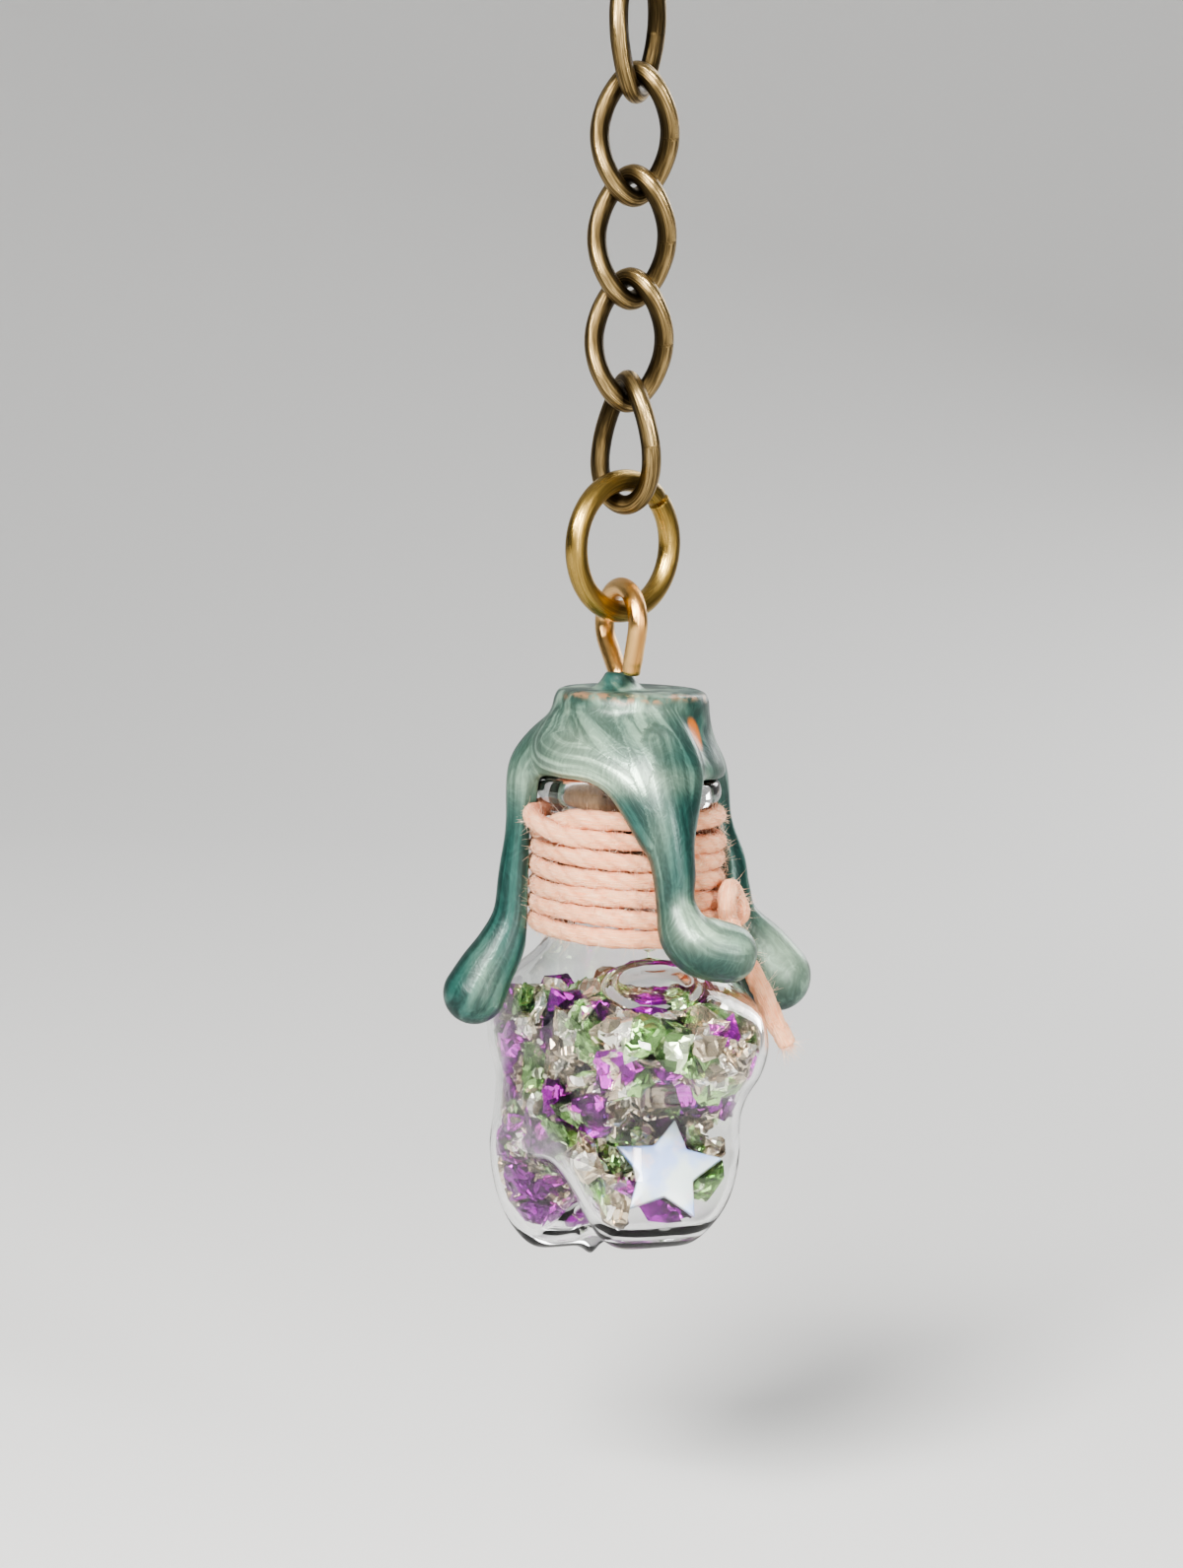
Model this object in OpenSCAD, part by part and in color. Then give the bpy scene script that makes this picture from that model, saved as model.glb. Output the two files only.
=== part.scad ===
// Bottle pendant: a star-shaped glass bottle of foil chips, sealed with cork and wax, on a length of curb chain.
// Millimetres, Z up. The origin is the hanging point, at the inside top of the top link.
// The flat face of the star looks along -Y.

/* [Chain] */
// Thickness of the link's wire
link_wire = 1.1; // [0.8:0.05:1.2]
// Outer length of a link
link_len = 8.1; // [7:0.1:10]
// Outer width of a link
link_w = 5.0; // [4.6:0.1:6]
// Gap between wires that hang in each other
hang_gap = 0.2; // [0.15:0.05:0.5]

/* [Jump ring] */
// Outer diameter of the ring
ring_d = 8.6; // [8:0.1:11]
// Thickness of the ring's wire
ring_wire = 1.25; // [0.9:0.05:1.3]
// Width of the cut in the ring
ring_cut = 0.25; // [0.1:0.05:0.6]
// Turn of the ring about the vertical, from the star's flat face
ring_turn = 107; // [95:1:115]

/* [Screw eye] */
// Thickness of the eye's wire
eye_wire = 1.1; // [0.8:0.05:1.2]
// Outer width of the eye's loop
eye_w = 5.1; // [4.8:0.1:6]
// Outer height of the eye's loop
eye_h = 5.4; // [5:0.1:7]
// Height of the bare shank between loop and cork
eye_stand = 1.3; // [1:0.1:2]
// Length of the shank inside the cork
shank_len = 5; // [3:0.1:6]
// Distance of the shank from the bottle's middle
eye_off = 1; // [0:0.1:1.5]

/* [Cork] */
// Diameter of the cork at its top
cork_d = 8.2; // [7.9:0.1:8.6]
// Diameter of the cork at its foot
cork_foot_d = 6.9; // [6:0.1:7.1]
// Height of the cork
cork_h = 9; // [8:0.1:12]
// Height of the cork that stands above the lip
cork_stand = 4.5; // [3.5:0.1:5]

/* [Glass bottle] */
// Height from the lip's top to the feet of the star
bottle_h = 27.1; // [25:0.1:32]
// Width over the arms of the star
bottle_w = 20.4; // [18:0.1:24]
// Depth of the star from front to back
bottle_t = 11.9; // [11:0.1:13]
// Height by which one leg hangs lower than the middle, and the other higher
leg_skew = 1.9; // [0:0.1:2.5]
// Height of the neck with its lip
neck_h = 9.2; // [9:0.1:11]
// Outer diameter of the neck
neck_d = 8.8; // [8.7:0.1:9.2]
// Inner diameter of the neck
bore_d = 7.7; // [7.6:0.05:7.8]
// Outer diameter of the lip
lip_d = 10.4; // [9.8:0.1:10.6]
// Height of the lip
lip_h = 1.6; // [1.2:0.1:1.8]
// Thickness of the glass in the star
glass_wall = 0.6; // [0.5:0.05:0.85]

/* [Wax seal] */
// Thickness of the wax on the cork
wax_wall = 0.4; // [0.3:0.05:0.8]
// Width of the wax collar round the eye's shank
collar_d = 2.8; // [2.4:0.1:4]

/* [Cord] */
// Thickness of the cord
cord_d = 1.08; // [0.9:0.02:1.1]
// Turns of the cord round the neck
cord_turns = 7; // [4:1:7]

/* [Chips and star] */
// Size of the largest foil chip
chip_d = 1.8; // [1.2:0.05:2.2]
// Depth of the empty space above the chips, from the shoulder
empty_h = 3.2; // [2:0.1:8]
// Width over the points of the star charm
star_w = 6.0; // [5:0.1:6.2]
// Thickness of the star charm
star_t = 0.5; // [0.3:0.05:0.8]

/* [Hidden] */

// Gap between pieces that are seated on each other
seat = 0.1;
// Half a link from wire centre to wire centre
link_rx = (link_w - link_wire) / 2;
link_rz = (link_len - link_wire) / 2;
link_pitch = 2 * link_rz - link_wire - hang_gap;
// Each link's turn and its twist from the middle to either end, from the top
LINK_TURNS = [[120, 10], [62, 42], [62, 42], [62, 42], [16, 22]];
link_steps = 26;
link_sides = 6;

// Heights, worked out from the hanging point down
last_link_z = link_wire / 2 - link_rz - (len(LINK_TURNS) - 1) * link_pitch;
ring_r = (ring_d - ring_wire) / 2;
ring_z = last_link_z - link_rz + (link_wire + ring_wire) / 2 + hang_gap - ring_r;
hinge_z = ring_z - ring_r;
eye_top_z = hinge_z + (ring_wire + eye_wire) / 2 + hang_gap + eye_wire / 2;
eye_foot_z = eye_top_z - eye_h;
cork_top_z = eye_foot_z - eye_stand;
lip_top_z = cork_top_z - cork_stand;
shoulder_z = lip_top_z - neck_h;
body_h = bottle_h - neck_h;
foot_z = shoulder_z - body_h;
cord_top_z = shoulder_z + cord_d * (cord_turns + 0.05);
cord_r = neck_d / 2 + cord_d;

// The eye's left side leans in by the first angle and bends into the shank, and its cut end by the second
eye_lean = 40;
end_lean = 15;
eye_bend_r = 1.2;

// The bottle's middle stands beside the eye's shank, along the jump ring's wire, so that it hangs upright
bottle_at = eye_off * [cos(ring_turn), sin(ring_turn), 0];

// Turn of the wax drips' directions: a drip at angle 0 hangs at this bearing
drip_turn = -28;

// The lip's outline from its top edge to the neck: reach over the neck as a share of the lip's overhang, and
// drop as a share of the lip's height
LIP_ROWS = [[0.35, 0], [0.8, 0.1], [1, 0.35], [1, 0.65], [0.7, 0.9], [0.2, 1.05]];
// The star's outline, from the shoulder to the crotch between the legs: reach to the side and to the front as
// shares of the half width and the half depth, drop at the side and at the front as shares of the body's
// height, squareness of the section, and how far its middle stands back as a share of the half depth
SIDE = 0;
SIDE_DROP = 1;
FRONT = 2;
FRONT_DROP = 3;
SQUARE = 4;
BACK = 5;
STAR_ROWS = [
    [0.53, 0.06, 0.82, 0.05, 0.3, 0.01],
    [0.75, 0.14, 0.92, 0.11, 0.6, 0.02],
    [0.94, 0.23, 0.97, 0.18, 0.9, 0.03],
    [1.00, 0.32, 0.98, 0.25, 1.0, 0.03],
    [0.93, 0.41, 0.99, 0.33, 1.0, 0.02],
    [0.78, 0.50, 0.99, 0.40, 1.0, 0.00],
    [0.71, 0.58, 1.00, 0.46, 1.0, -0.03],
    [0.71, 0.66, 1.00, 0.52, 1.0, -0.05],
    [0.74, 0.76, 0.99, 0.58, 1.0, -0.06],
    [0.72, 0.87, 0.93, 0.64, 1.0, -0.06],
    [0.65, 0.95, 0.84, 0.69, 0.9, -0.06],
    [0.53, 1.00, 0.71, 0.72, 0.8, -0.05],
    [0.38, 0.97, 0.54, 0.745, 0.7, -0.03],
    [0.23, 0.88, 0.36, 0.76, 0.5, -0.02],
    [0.11, 0.80, 0.18, 0.77, 0.2, 0]
];
crotch_drop = 0.77;
// The exponent of cosine and sine that makes the section of the star's middle nearly square
square_power = 0.62;
glass_sides = 32;

// Wax drips: angle round the neck, distance of the middle from the axis, drop below the lip's top, radius
LEFT_DRIP = [
    [-84, 4.5, -2.0, 1.25], [-86, 5.6, -0.4, 1.2], [-86, 5.85, 1.2, 1.05], [-86, 6.1, 3.6, 0.8],
    [-86, 6.3, 6.0, 0.85], [-86, 6.5, 8.1, 0.95], [-86, 7.5, 10.8, 1.5], [-86, 8.45, 12.6, 1.75]
];
FRONT_DRIP = [
    [14, 4.9, -1.6, 1.6], [16, 6.0, 0.2, 1.5], [19, 6.7, 2.4, 1.45], [22, 6.9, 4.6, 1.25],
    [23, 7.0, 6.4, 1.1], [26, 7.4, 7.9, 1.5], [32, 7.9, 8.7, 1.75], [41, 8.6, 9.1, 1.7]
];
RIGHT_DRIP = [
    [116, 3.9, -2.0, 1.0], [120, 5.4, 0.2, 1.1], [124, 6.05, 2.4, 0.9], [118, 6.5, 4.8, 0.95],
    [114, 6.6, 6.7, 1.0], [112, 7.0, 8.5, 1.25], [110, 8.1, 10.1, 1.8], [107, 9.1, 11.6, 2.0]
];
BACK_DRIP = [[-160, 4.5, -2.0, 1.25], [-160, 5.7, -0.6, 1.15], [-160, 6.3, 1.2, 0.9], [-160, 6.5, 3.6, 0.85]];
// Webs of wax beside the front drip, which make its head broad, in the same columns
LEFT_WEB = [[-62, 4.8, -1.5, 1.15], [-22, 5.3, -1.0, 1.1], [-3, 5.9, 0.1, 1.1], [13, 6.6, 2.8, 1.1]];
RIGHT_WEB = [[14, 5.4, -0.9, 1.5], [40, 5.4, -1.0, 1.0], [34, 5.9, 0.2, 1.0], [23, 6.7, 3.4, 1.1]];

// The cord's free end: round numbers from the knot to the tip, from the bottle's middle
TAIL_POINTS = [
    [5.1, 4.2, -52.5], [5.3, 4.4, -53.5], [5.5, 4.9, -54.6], [5.6, 5.5, -55.7], [5.6, 6.1, -56.8],
    [5.6, 6.7, -58.0], [5.7, 7.5, -59.3]
];
// Middle of the knot
KNOT_POINT = [5.1, 4.0, -51.3];
tail_sides = 8;
// Rooms inside the bottle that the chips fill: middle across and down, and half sizes, as shares of the half
// width, the body's height and the half depth
ROOMS = [
    [0, 0.45, 0.64, 0.34, 0.96],
    [-0.52, 0.34, 0.46, 0.20, 0.82],
    [0.52, 0.34, 0.46, 0.20, 0.82],
    [-0.41, 0.74, 0.36, 0.25, 0.80],
    [0.41, 0.74, 0.36, 0.25, 0.80]
];
chip_gap = 0.12;
chip_pitch = chip_d + chip_gap;
chip_seed = 7;
// The star charm: its middle in the near leg, its turn, how far it leans back, and its turn in its own plane
charm_at = [3.67, 1.12, shoulder_z - 0.721 * body_h];
charm_turn = 60;
charm_lean = 24;
charm_roll = 5;
charm_front = [
    cos(charm_lean) * sin(charm_turn), -cos(charm_lean) * cos(charm_turn), sin(charm_lean)
];

// The unit vector along v
function unit(v) = v / norm(v);

// One ring of a round wire: points round p, in the plane across t, counted from the direction out
function wire_ring(p, t, out, r, sides) =
    let(n = unit(out - t * (out * t)), b = cross(t, n))
    [for (k = [0:sides - 1]) p + r * (cos(360 * k / sides) * n + sin(360 * k / sides) * b)];

// The triangles between rings of points, ring by ring. A closed wire's last ring joins its first.
function ring_faces(rings, sides, closed) =
    [for (i = [0:rings - (closed ? 1 : 2)], k = [0:sides - 1], half = [0, 1])
        let(j = (i + 1) % rings, m = (k + 1) % sides)
        half == 0 ? [i * sides + m, i * sides + k, j * sides + k]
            : [i * sides + m, j * sides + k, j * sides + m]];

// Centre of a twisted link's wire at angle f. The link's plane turns as f goes from its foot to its top.
function link_point(f, turn, twist) =
    let(t = turn - twist * sin(f))
    [link_rx * cos(f) * cos(t), link_rx * cos(f) * sin(t), link_rz * sin(f)];

module chain_link(place) {
    turn = LINK_TURNS[place][0];
    twist = LINK_TURNS[place][1];
    rings = [for (i = [0:link_steps - 1])
        let(f = 360 * i / link_steps, p = link_point(f, turn, twist),
            t = unit(link_point(f + 1, turn, twist) - link_point(f - 1, turn, twist)))
        wire_ring(p, t, p, link_wire / 2, link_sides)];
    color("darkkhaki")
        translate([0, 0, link_wire / 2 - link_rz - place * link_pitch])
            polyhedron([for (ring = rings) each ring], ring_faces(link_steps, link_sides, true));
}

module jump_ring() {
    cut_angle = 2 * asin(ring_cut / 2 / ring_r);
    color("goldenrod")
        translate([0, 0, ring_z])
            rotate([0, 0, ring_turn])
                rotate([90, 0, 0])
                    rotate([0, 0, 45 + cut_angle / 2])
                        rotate_extrude(angle = 360 - cut_angle, $fn = 96)
                            translate([ring_r, 0]) circle(d = ring_wire, $fn = 32);
}

// An arc of the eye's wire about a middle in its plane, from one angle on
module eye_arc(middle, r, from, angle) {
    translate([middle.x, 0, middle.y])
        rotate([90, 0, 0])
            rotate([0, 0, from])
                rotate_extrude(angle = angle, $fn = 64)
                    translate([r, 0]) circle(d = eye_wire, $fn = 32);
}

// A straight stretch of the eye's wire, from a place in its plane down, leaning to the right by an angle
module eye_leg(from, lean, length) {
    translate([from.x, 0, from.y])
        rotate([0, 180 - lean, 0])
            cylinder(h = length, d = eye_wire, $fn = 32);
}

module screw_eye() {
    r = (eye_w - eye_wire) / 2;
    middle = [0, eye_top_z - eye_wire / 2 - r];
    // The left side leans in until its bend meets the shank. The right side ends cut off beside it.
    left_top = middle + r * [cos(180 + eye_lean), sin(180 + eye_lean)];
    left_run = (-left_top.x - eye_bend_r * (1 - cos(eye_lean))) / sin(eye_lean);
    bend_z = left_top.y - left_run * cos(eye_lean) - eye_bend_r * sin(eye_lean);
    right_top = middle + r * [cos(end_lean), -sin(end_lean)];
    color("gold") {
        eye_arc(middle, r, -end_lean, 180 + eye_lean + end_lean);
        eye_leg(left_top, eye_lean, left_run);
        eye_arc([-eye_bend_r, bend_z], eye_bend_r, 0, eye_lean);
        eye_leg([0, bend_z], 0, bend_z - cork_top_z + shank_len);
        eye_leg(right_top, -end_lean, (right_top.y - eye_foot_z - seat) / cos(end_lean));
        for (joint = [left_top, right_top, [0, bend_z], left_top + left_run * [sin(eye_lean), -cos(eye_lean)]])
            translate([joint.x, 0, joint.y]) sphere(d = eye_wire + 0.02, $fn = 32);
    }
}

module cork() {
    color("burlywood")
        translate([0, 0, cork_top_z - cork_h])
            difference() {
                translate(bottle_at) cylinder(h = cork_h, d1 = cork_foot_d, d2 = cork_d, $fn = 64);
                translate([0, 0, cork_h - shank_len - seat])
                    cylinder(h = shank_len + 2 * seat, d = eye_wire + 2 * seat, $fn = 32);
            }
}

// The glass rows from the lip's top edge to the last ring above the crotch, as lengths: reach to the side,
// height there, reach to the front, height there, squareness, and distance back
function glass_rows() = concat(
    [for (row = LIP_ROWS)
        let(r = neck_d / 2 + row[0] * (lip_d - neck_d) / 2, z = lip_top_z - row[1] * lip_h)
        [r, z, r, z, 0, 0]],
    [for (share = [0.03, 1]) let(z = lip_top_z - lip_h - share * (neck_h - lip_h))
        [neck_d / 2, z, neck_d / 2, z, 0, 0]],
    [for (row = STAR_ROWS) [
        row[SIDE] * bottle_w / 2, shoulder_z - row[SIDE_DROP] * body_h,
        row[FRONT] * bottle_t / 2, shoulder_z - row[FRONT_DROP] * body_h, row[SQUARE], row[BACK] * bottle_t / 2
    ]]
);
crotch = [0, 0, shoulder_z - crotch_drop * body_h];

// A share with its sign, raised to a power: 1 keeps a section round, less makes it square
function signed_power(v, e) = sign(v) * pow(abs(v), e);

// How far the glass is moved up at x and z: nothing at the shoulder, and the whole skew at the feet
function skew(x, z) = leg_skew * x / (bottle_w / 2) * pow(max(0, (shoulder_z - z) / body_h), 2);

// The point of the glass on a row at bearing a. The drop goes from the side's to the front's as the fourth
// power of the sine, which keeps each leg full and makes the crotch a narrow groove.
function glass_point(row, a) =
    let(e = 1 - row[SQUARE] * (1 - square_power), x = row[SIDE] * signed_power(cos(a), e),
        z = row[SIDE_DROP] + pow(sin(a), 4) * (row[FRONT_DROP] - row[SIDE_DROP]))
    [x, row[FRONT] * signed_power(sin(a), e) + row[BACK], z + skew(x, z)];

// The point on the inner wall behind row i at bearing a: moved in by the wall along the surface's normal
function inner_point(rows, i, a) =
    let(p = glass_point(rows[i], a),
        above = glass_point(rows[i - 1], a),
        below = i + 1 < len(rows) ? glass_point(rows[i + 1], a) : crotch,
        aside = glass_point(rows[i], a + 2) - glass_point(rows[i], a - 2))
    p - glass_wall * unit(cross(above - below, aside) * -1);

module glass_bottle() {
    rows = glass_rows();
    last = len(rows) - 1;
    first_inner = len(LIP_ROWS) + 2;
    bearings = [for (k = [0:glass_sides - 1]) 360 * k / glass_sides];
    // The rings go up the outside from the crotch, over the lip, and down the inside
    outer = [for (i = [last:-1:0]) [for (a = bearings) glass_point(rows[i], a)]];
    bore = [for (z = [lip_top_z, shoulder_z - seat])
        [for (a = bearings) [bore_d / 2 * cos(a), bore_d / 2 * sin(a), z]]];
    inner = [for (i = [first_inner:last]) [for (a = bearings) inner_point(rows, i, a)]];
    rings = concat(outer, bore, inner);
    count = len(rings) * glass_sides;
    last_ring = count - glass_sides;
    faces = concat(
        ring_faces(len(rings), glass_sides, false),
        [for (k = [0:glass_sides - 1]) [count, k, (k + 1) % glass_sides]],
        [for (k = [0:glass_sides - 1]) [count + 1, last_ring + (k + 1) % glass_sides, last_ring + k]]
    );
    color("lightcyan", 0.4)
        translate(bottle_at)
            polyhedron(concat([for (ring = rings) each ring], [crotch, crotch + [0, 0, glass_wall]]), faces);
}

// The middle of a wax drip's ball
function drip_at(row) =
    let(a = row[0] + drip_turn) [row[1] * cos(a), row[1] * sin(a), lip_top_z - row[2]];

// Each stretch starts from a ball a little smaller than the one that it comes out of
module drip(rows) {
    for (i = [0:len(rows) - 2])
        hull() {
            translate(drip_at(rows[i])) rotate(9 * i) sphere(r = 0.96 * rows[i][3], $fn = 18);
            translate(drip_at(rows[i + 1])) rotate(9 * i) sphere(r = rows[i + 1][3], $fn = 18);
        }
}

// The wax over the cork, down to its foot, which the lip's cut trims
module wax_cap() {
    top_z = cork_top_z + wax_wall;
    foot_z = lip_top_z - seat;
    core_z = cork_top_z - 2.5 * wax_wall;
    side_r = cork_d / 2 + wax_wall;
    rotate_extrude($fn = 48)
        polygon([
            [0, core_z], [0, top_z], [cork_d / 2 - wax_wall, top_z], [side_r - 0.2, top_z - 0.3],
            [side_r, cork_top_z - 0.18 * cork_stand], [side_r, cork_top_z - 0.36 * cork_stand],
            [lip_d / 2 + 0.05, lip_top_z + 0.2 * cork_stand], [lip_d / 2 + 0.25, lip_top_z + 0.1 * cork_stand],
            [lip_d / 2 - 0.1, foot_z], [cork_d / 2 - seat, foot_z], [cork_d / 2 - seat, core_z]
        ]);
}

module wax_seal() {
    color("darkslategray")
        difference() {
            union() {
                translate(bottle_at) {
                    wax_cap();
                    for (rows = [LEFT_DRIP, FRONT_DRIP, LEFT_WEB, RIGHT_WEB, RIGHT_DRIP, BACK_DRIP]) drip(rows);
                }
                translate([0, 0, cork_top_z])
                    cylinder(h = wax_wall + 0.3 * eye_stand, d1 = collar_d, d2 = eye_wire + 2 * wax_wall,
                        $fn = 32);
            }
            translate(bottle_at) {
                translate([0, 0, cork_top_z - cork_h])
                    cylinder(h = cork_h + seat, d1 = cork_foot_d + 2 * seat, d2 = cork_d + 2 * seat, $fn = 48);
                translate([0, 0, lip_top_z - lip_h - seat])
                    cylinder(h = lip_h + 2 * seat, d = lip_d + 2 * seat, $fn = 48);
                translate([0, 0, shoulder_z])
                    cylinder(h = neck_h - lip_h, r = cord_r + seat, $fn = 48);
            }
            translate([0, 0, cork_top_z - seat]) cylinder(h = 4 * eye_stand, d = eye_wire + 2 * seat, $fn = 32);
        }
}

module cord_winding() {
    color("peachpuff")
        translate(bottle_at)
            rotate_extrude($fn = 64) {
                for (i = [0:cord_turns - 1])
                    translate([neck_d / 2 + seat / 2 + cord_d / 2, cord_top_z - (i + 0.5) * cord_d])
                        circle(d = cord_d, $fn = 24);
                translate([neck_d / 2 + seat, cord_top_z - (cord_turns - 0.5) * cord_d])
                    square([cord_d / 2, (cord_turns - 1) * cord_d]);
            }
}

module cord_knot() {
    color("peachpuff")
        translate(bottle_at + KNOT_POINT)
            sphere(d = 1.6 * cord_d, $fn = 32);
}

module cord_tail() {
    last = len(TAIL_POINTS) - 1;
    rings = [for (i = [0:last])
        wire_ring(TAIL_POINTS[i], unit(TAIL_POINTS[min(i + 1, last)] - TAIL_POINTS[max(i - 1, 0)]),
            [1, 0, 0], cord_d / 2, tail_sides)];
    color("peachpuff")
        translate(bottle_at)
            polyhedron([for (ring = rings) each ring], concat(
                ring_faces(last + 1, tail_sides, false),
                [[for (k = [0:tail_sides - 1]) k]],
                [[for (k = [tail_sides - 1:-1:0]) last * tail_sides + k]]
            ));
}

// How far a place lies inside a room: under 1 is inside
function room_share(p, room) =
    let(margin = chip_d / 2 + seat)
    norm([
        (p.x - room[0] * bottle_w / 2) / (room[2] * bottle_w / 2 - glass_wall - margin),
        p.y / (room[4] * bottle_t / 2 - glass_wall - margin),
        (p.z - shoulder_z + room[1] * body_h - skew(p.x, p.z)) / (room[3] * body_h - glass_wall - margin)
    ]);

// Whether a chip at a place is clear of the star charm: behind its back, or outside its points
function clear_of_charm(p) =
    let(off = p - charm_at, h = off * charm_front)
    h < -chip_d / 2 - seat || norm(off - h * charm_front) > star_w / 2 / sin(72) + chip_d / 2;

// The chips' places: the points of a close-packed lattice that lie in a room, under the fill's top and clear
// of the star charm
CHIP_PLACES = [
    for (k = [0:ceil((body_h + leg_skew) / chip_pitch / 0.816)], j = [-6:6], i = [-8:8])
        let(p = [
            (i + 0.5 * (abs(j) % 2) + 0.5 * (k % 2)) * chip_pitch,
            (j * 0.866 + 0.289 * (k % 2)) * chip_pitch,
            foot_z - leg_skew + chip_d / 2 + k * 0.816 * chip_pitch
        ])
        if (p.z < shoulder_z - empty_h && min([for (room = ROOMS) room_share(p, room)]) < 1
            && clear_of_charm(p)) p
];

// One crumpled chip: six points at uneven distances on three turned axes
module chip(place, number) {
    size = rands(0.55, 1, 6, chip_seed + number);
    turn = rands(0, 360, 3, chip_seed + 1000 + number);
    r = chip_d / 2;
    translate(bottle_at + place)
        rotate(turn)
            polyhedron(
                [[size[0] * r, 0, 0], [-size[1] * r, 0, 0], [0, size[2] * r, 0], [0, -size[3] * r, 0],
                    [0, 0, size[4] * r], [0, 0, -size[5] * r]],
                [[0, 4, 2], [2, 4, 1], [1, 4, 3], [3, 4, 0], [2, 5, 0], [1, 5, 2], [3, 5, 1], [0, 5, 3]]
            );
}

// Every third chip, counted from the colour's own number
module chips(shade, paint) {
    color(paint)
        for (i = [shade:3:len(CHIP_PLACES) - 1]) chip(CHIP_PLACES[i], i);
}

module star_charm() {
    tip = star_w / 2 / sin(72);
    color("azure")
        translate(bottle_at + charm_at)
            rotate([0, 0, charm_turn])
                rotate([90 - charm_lean, 0, 0])
                    linear_extrude(star_t)
                        polygon([for (i = [0:9])
                            let(r = i % 2 == 0 ? tip : tip / 2, a = 90 + 36 * i - charm_roll)
                            [r * cos(a), r * sin(a)]]);
}

chain_link(0);  // chain_link_1
chain_link(1);  // chain_link_2
chain_link(2);  // chain_link_3
chain_link(3);  // chain_link_4
chain_link(4);  // chain_link_5
jump_ring();
screw_eye();
cork();
glass_bottle();
wax_seal();
cord_winding();
cord_knot();
cord_tail();
chips(0, "purple");  // chips_purple
chips(1, "lightgreen");  // chips_green
chips(2, "silver");  // chips_silver
star_charm();
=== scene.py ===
"""The looks of a bottle pendant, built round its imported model.

Sizes in the tables are millimetres from the hanging point, as in the part's source. Each surface is a function
of two parameters, worked out as whole arrays and put into a mesh in metres.
"""

import bpy
import numpy as np
from mathutils import Matrix, Vector
from mathutils.bvhtree import BVHTree


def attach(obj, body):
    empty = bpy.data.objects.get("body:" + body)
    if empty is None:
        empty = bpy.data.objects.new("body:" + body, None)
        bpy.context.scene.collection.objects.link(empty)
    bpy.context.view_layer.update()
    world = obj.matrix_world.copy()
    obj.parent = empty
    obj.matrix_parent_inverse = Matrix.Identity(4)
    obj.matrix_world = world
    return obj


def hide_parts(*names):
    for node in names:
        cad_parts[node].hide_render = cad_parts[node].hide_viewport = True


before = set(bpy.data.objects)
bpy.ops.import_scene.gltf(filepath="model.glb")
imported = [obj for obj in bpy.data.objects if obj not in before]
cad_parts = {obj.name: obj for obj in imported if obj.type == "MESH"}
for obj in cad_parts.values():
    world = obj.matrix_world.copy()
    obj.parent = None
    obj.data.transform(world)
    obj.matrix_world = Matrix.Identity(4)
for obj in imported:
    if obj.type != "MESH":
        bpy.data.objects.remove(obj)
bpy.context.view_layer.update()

MM = 0.001
UP = np.array([0.0, 0.0, 1.0])
random = np.random.default_rng(11)

# ---------------- sizes, as in the part's source

LINK_WIRE = 1.1
LINK_RX, LINK_RZ = (5.0 - LINK_WIRE) / 2, (8.1 - LINK_WIRE) / 2
LINK_PITCH = 5.7
LINK_TURNS = [(120, 10), (62, 42), (62, 42), (62, 42), (16, 22)]
RING_WIRE, RING_R, RING_Z, RING_TURN, RING_CUT = 1.25, 3.675, -31.55, 107, 0.25
EYE_WIRE, EYE_R, EYE_LEAN, END_LEAN, EYE_BEND_R = 1.1, 2.0, 40, 15, 1.2
EYE_TOP, EYE_FOOT, SHANK_END, EYE_SPACING = -33.3, -38.7, -45.0, 0.12
CORK_TOP, CORK_H, CORK_D, CORK_FOOT_D = -40.0, 9.0, 8.2, 6.9
LIP_TOP, LIP_H, LIP_D, NECK_R, BORE_R = -44.5, 1.6, 10.4, 4.4, 3.85
SHOULDER, BODY_H, HALF_W, HALF_T = -53.7, 17.9, 10.2, 5.95
LEG_SKEW, GLASS_WALL, CROTCH_DROP, SQUARE_POWER = 1.9, 0.6, 0.77, 0.62
CORD_D, CORD_TURNS, CORD_TOP = 1.08, 7, -46.086
DRIP_TURN = -28
STAR_TIP, STAR_T = 3.155, 0.5
CHARM_TURN, CHARM_LEAN, CHARM_ROLL = 60, 24, 5


def bearing(degrees):
    """The level unit vector at a bearing: cosine along X and sine along Y."""
    a = np.radians(degrees)
    return np.array([np.cos(a), np.sin(a), 0.0])


def direction(azimuth, elevation):
    """The unit vector towards an azimuth from the star's flat face, and an elevation."""
    a, e = np.radians([azimuth, elevation])
    return np.array([np.sin(a) * np.cos(e), -np.cos(a) * np.cos(e), np.sin(e)])


BOTTLE_AT = 1.0 * bearing(RING_TURN)
CHARM_AT = BOTTLE_AT + [3.67, 1.12, SHOULDER - 0.721 * BODY_H]

# The star charm's own directions: level across it, up along its leaning face, and out of its face
CHARM_ACROSS = bearing(CHARM_TURN)
CHARM_UP = np.cos(np.radians(CHARM_LEAN)) * UP - np.sin(np.radians(CHARM_LEAN)) * bearing(CHARM_TURN - 90)
CHARM_NORMAL = np.cross(CHARM_ACROSS, CHARM_UP)

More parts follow.
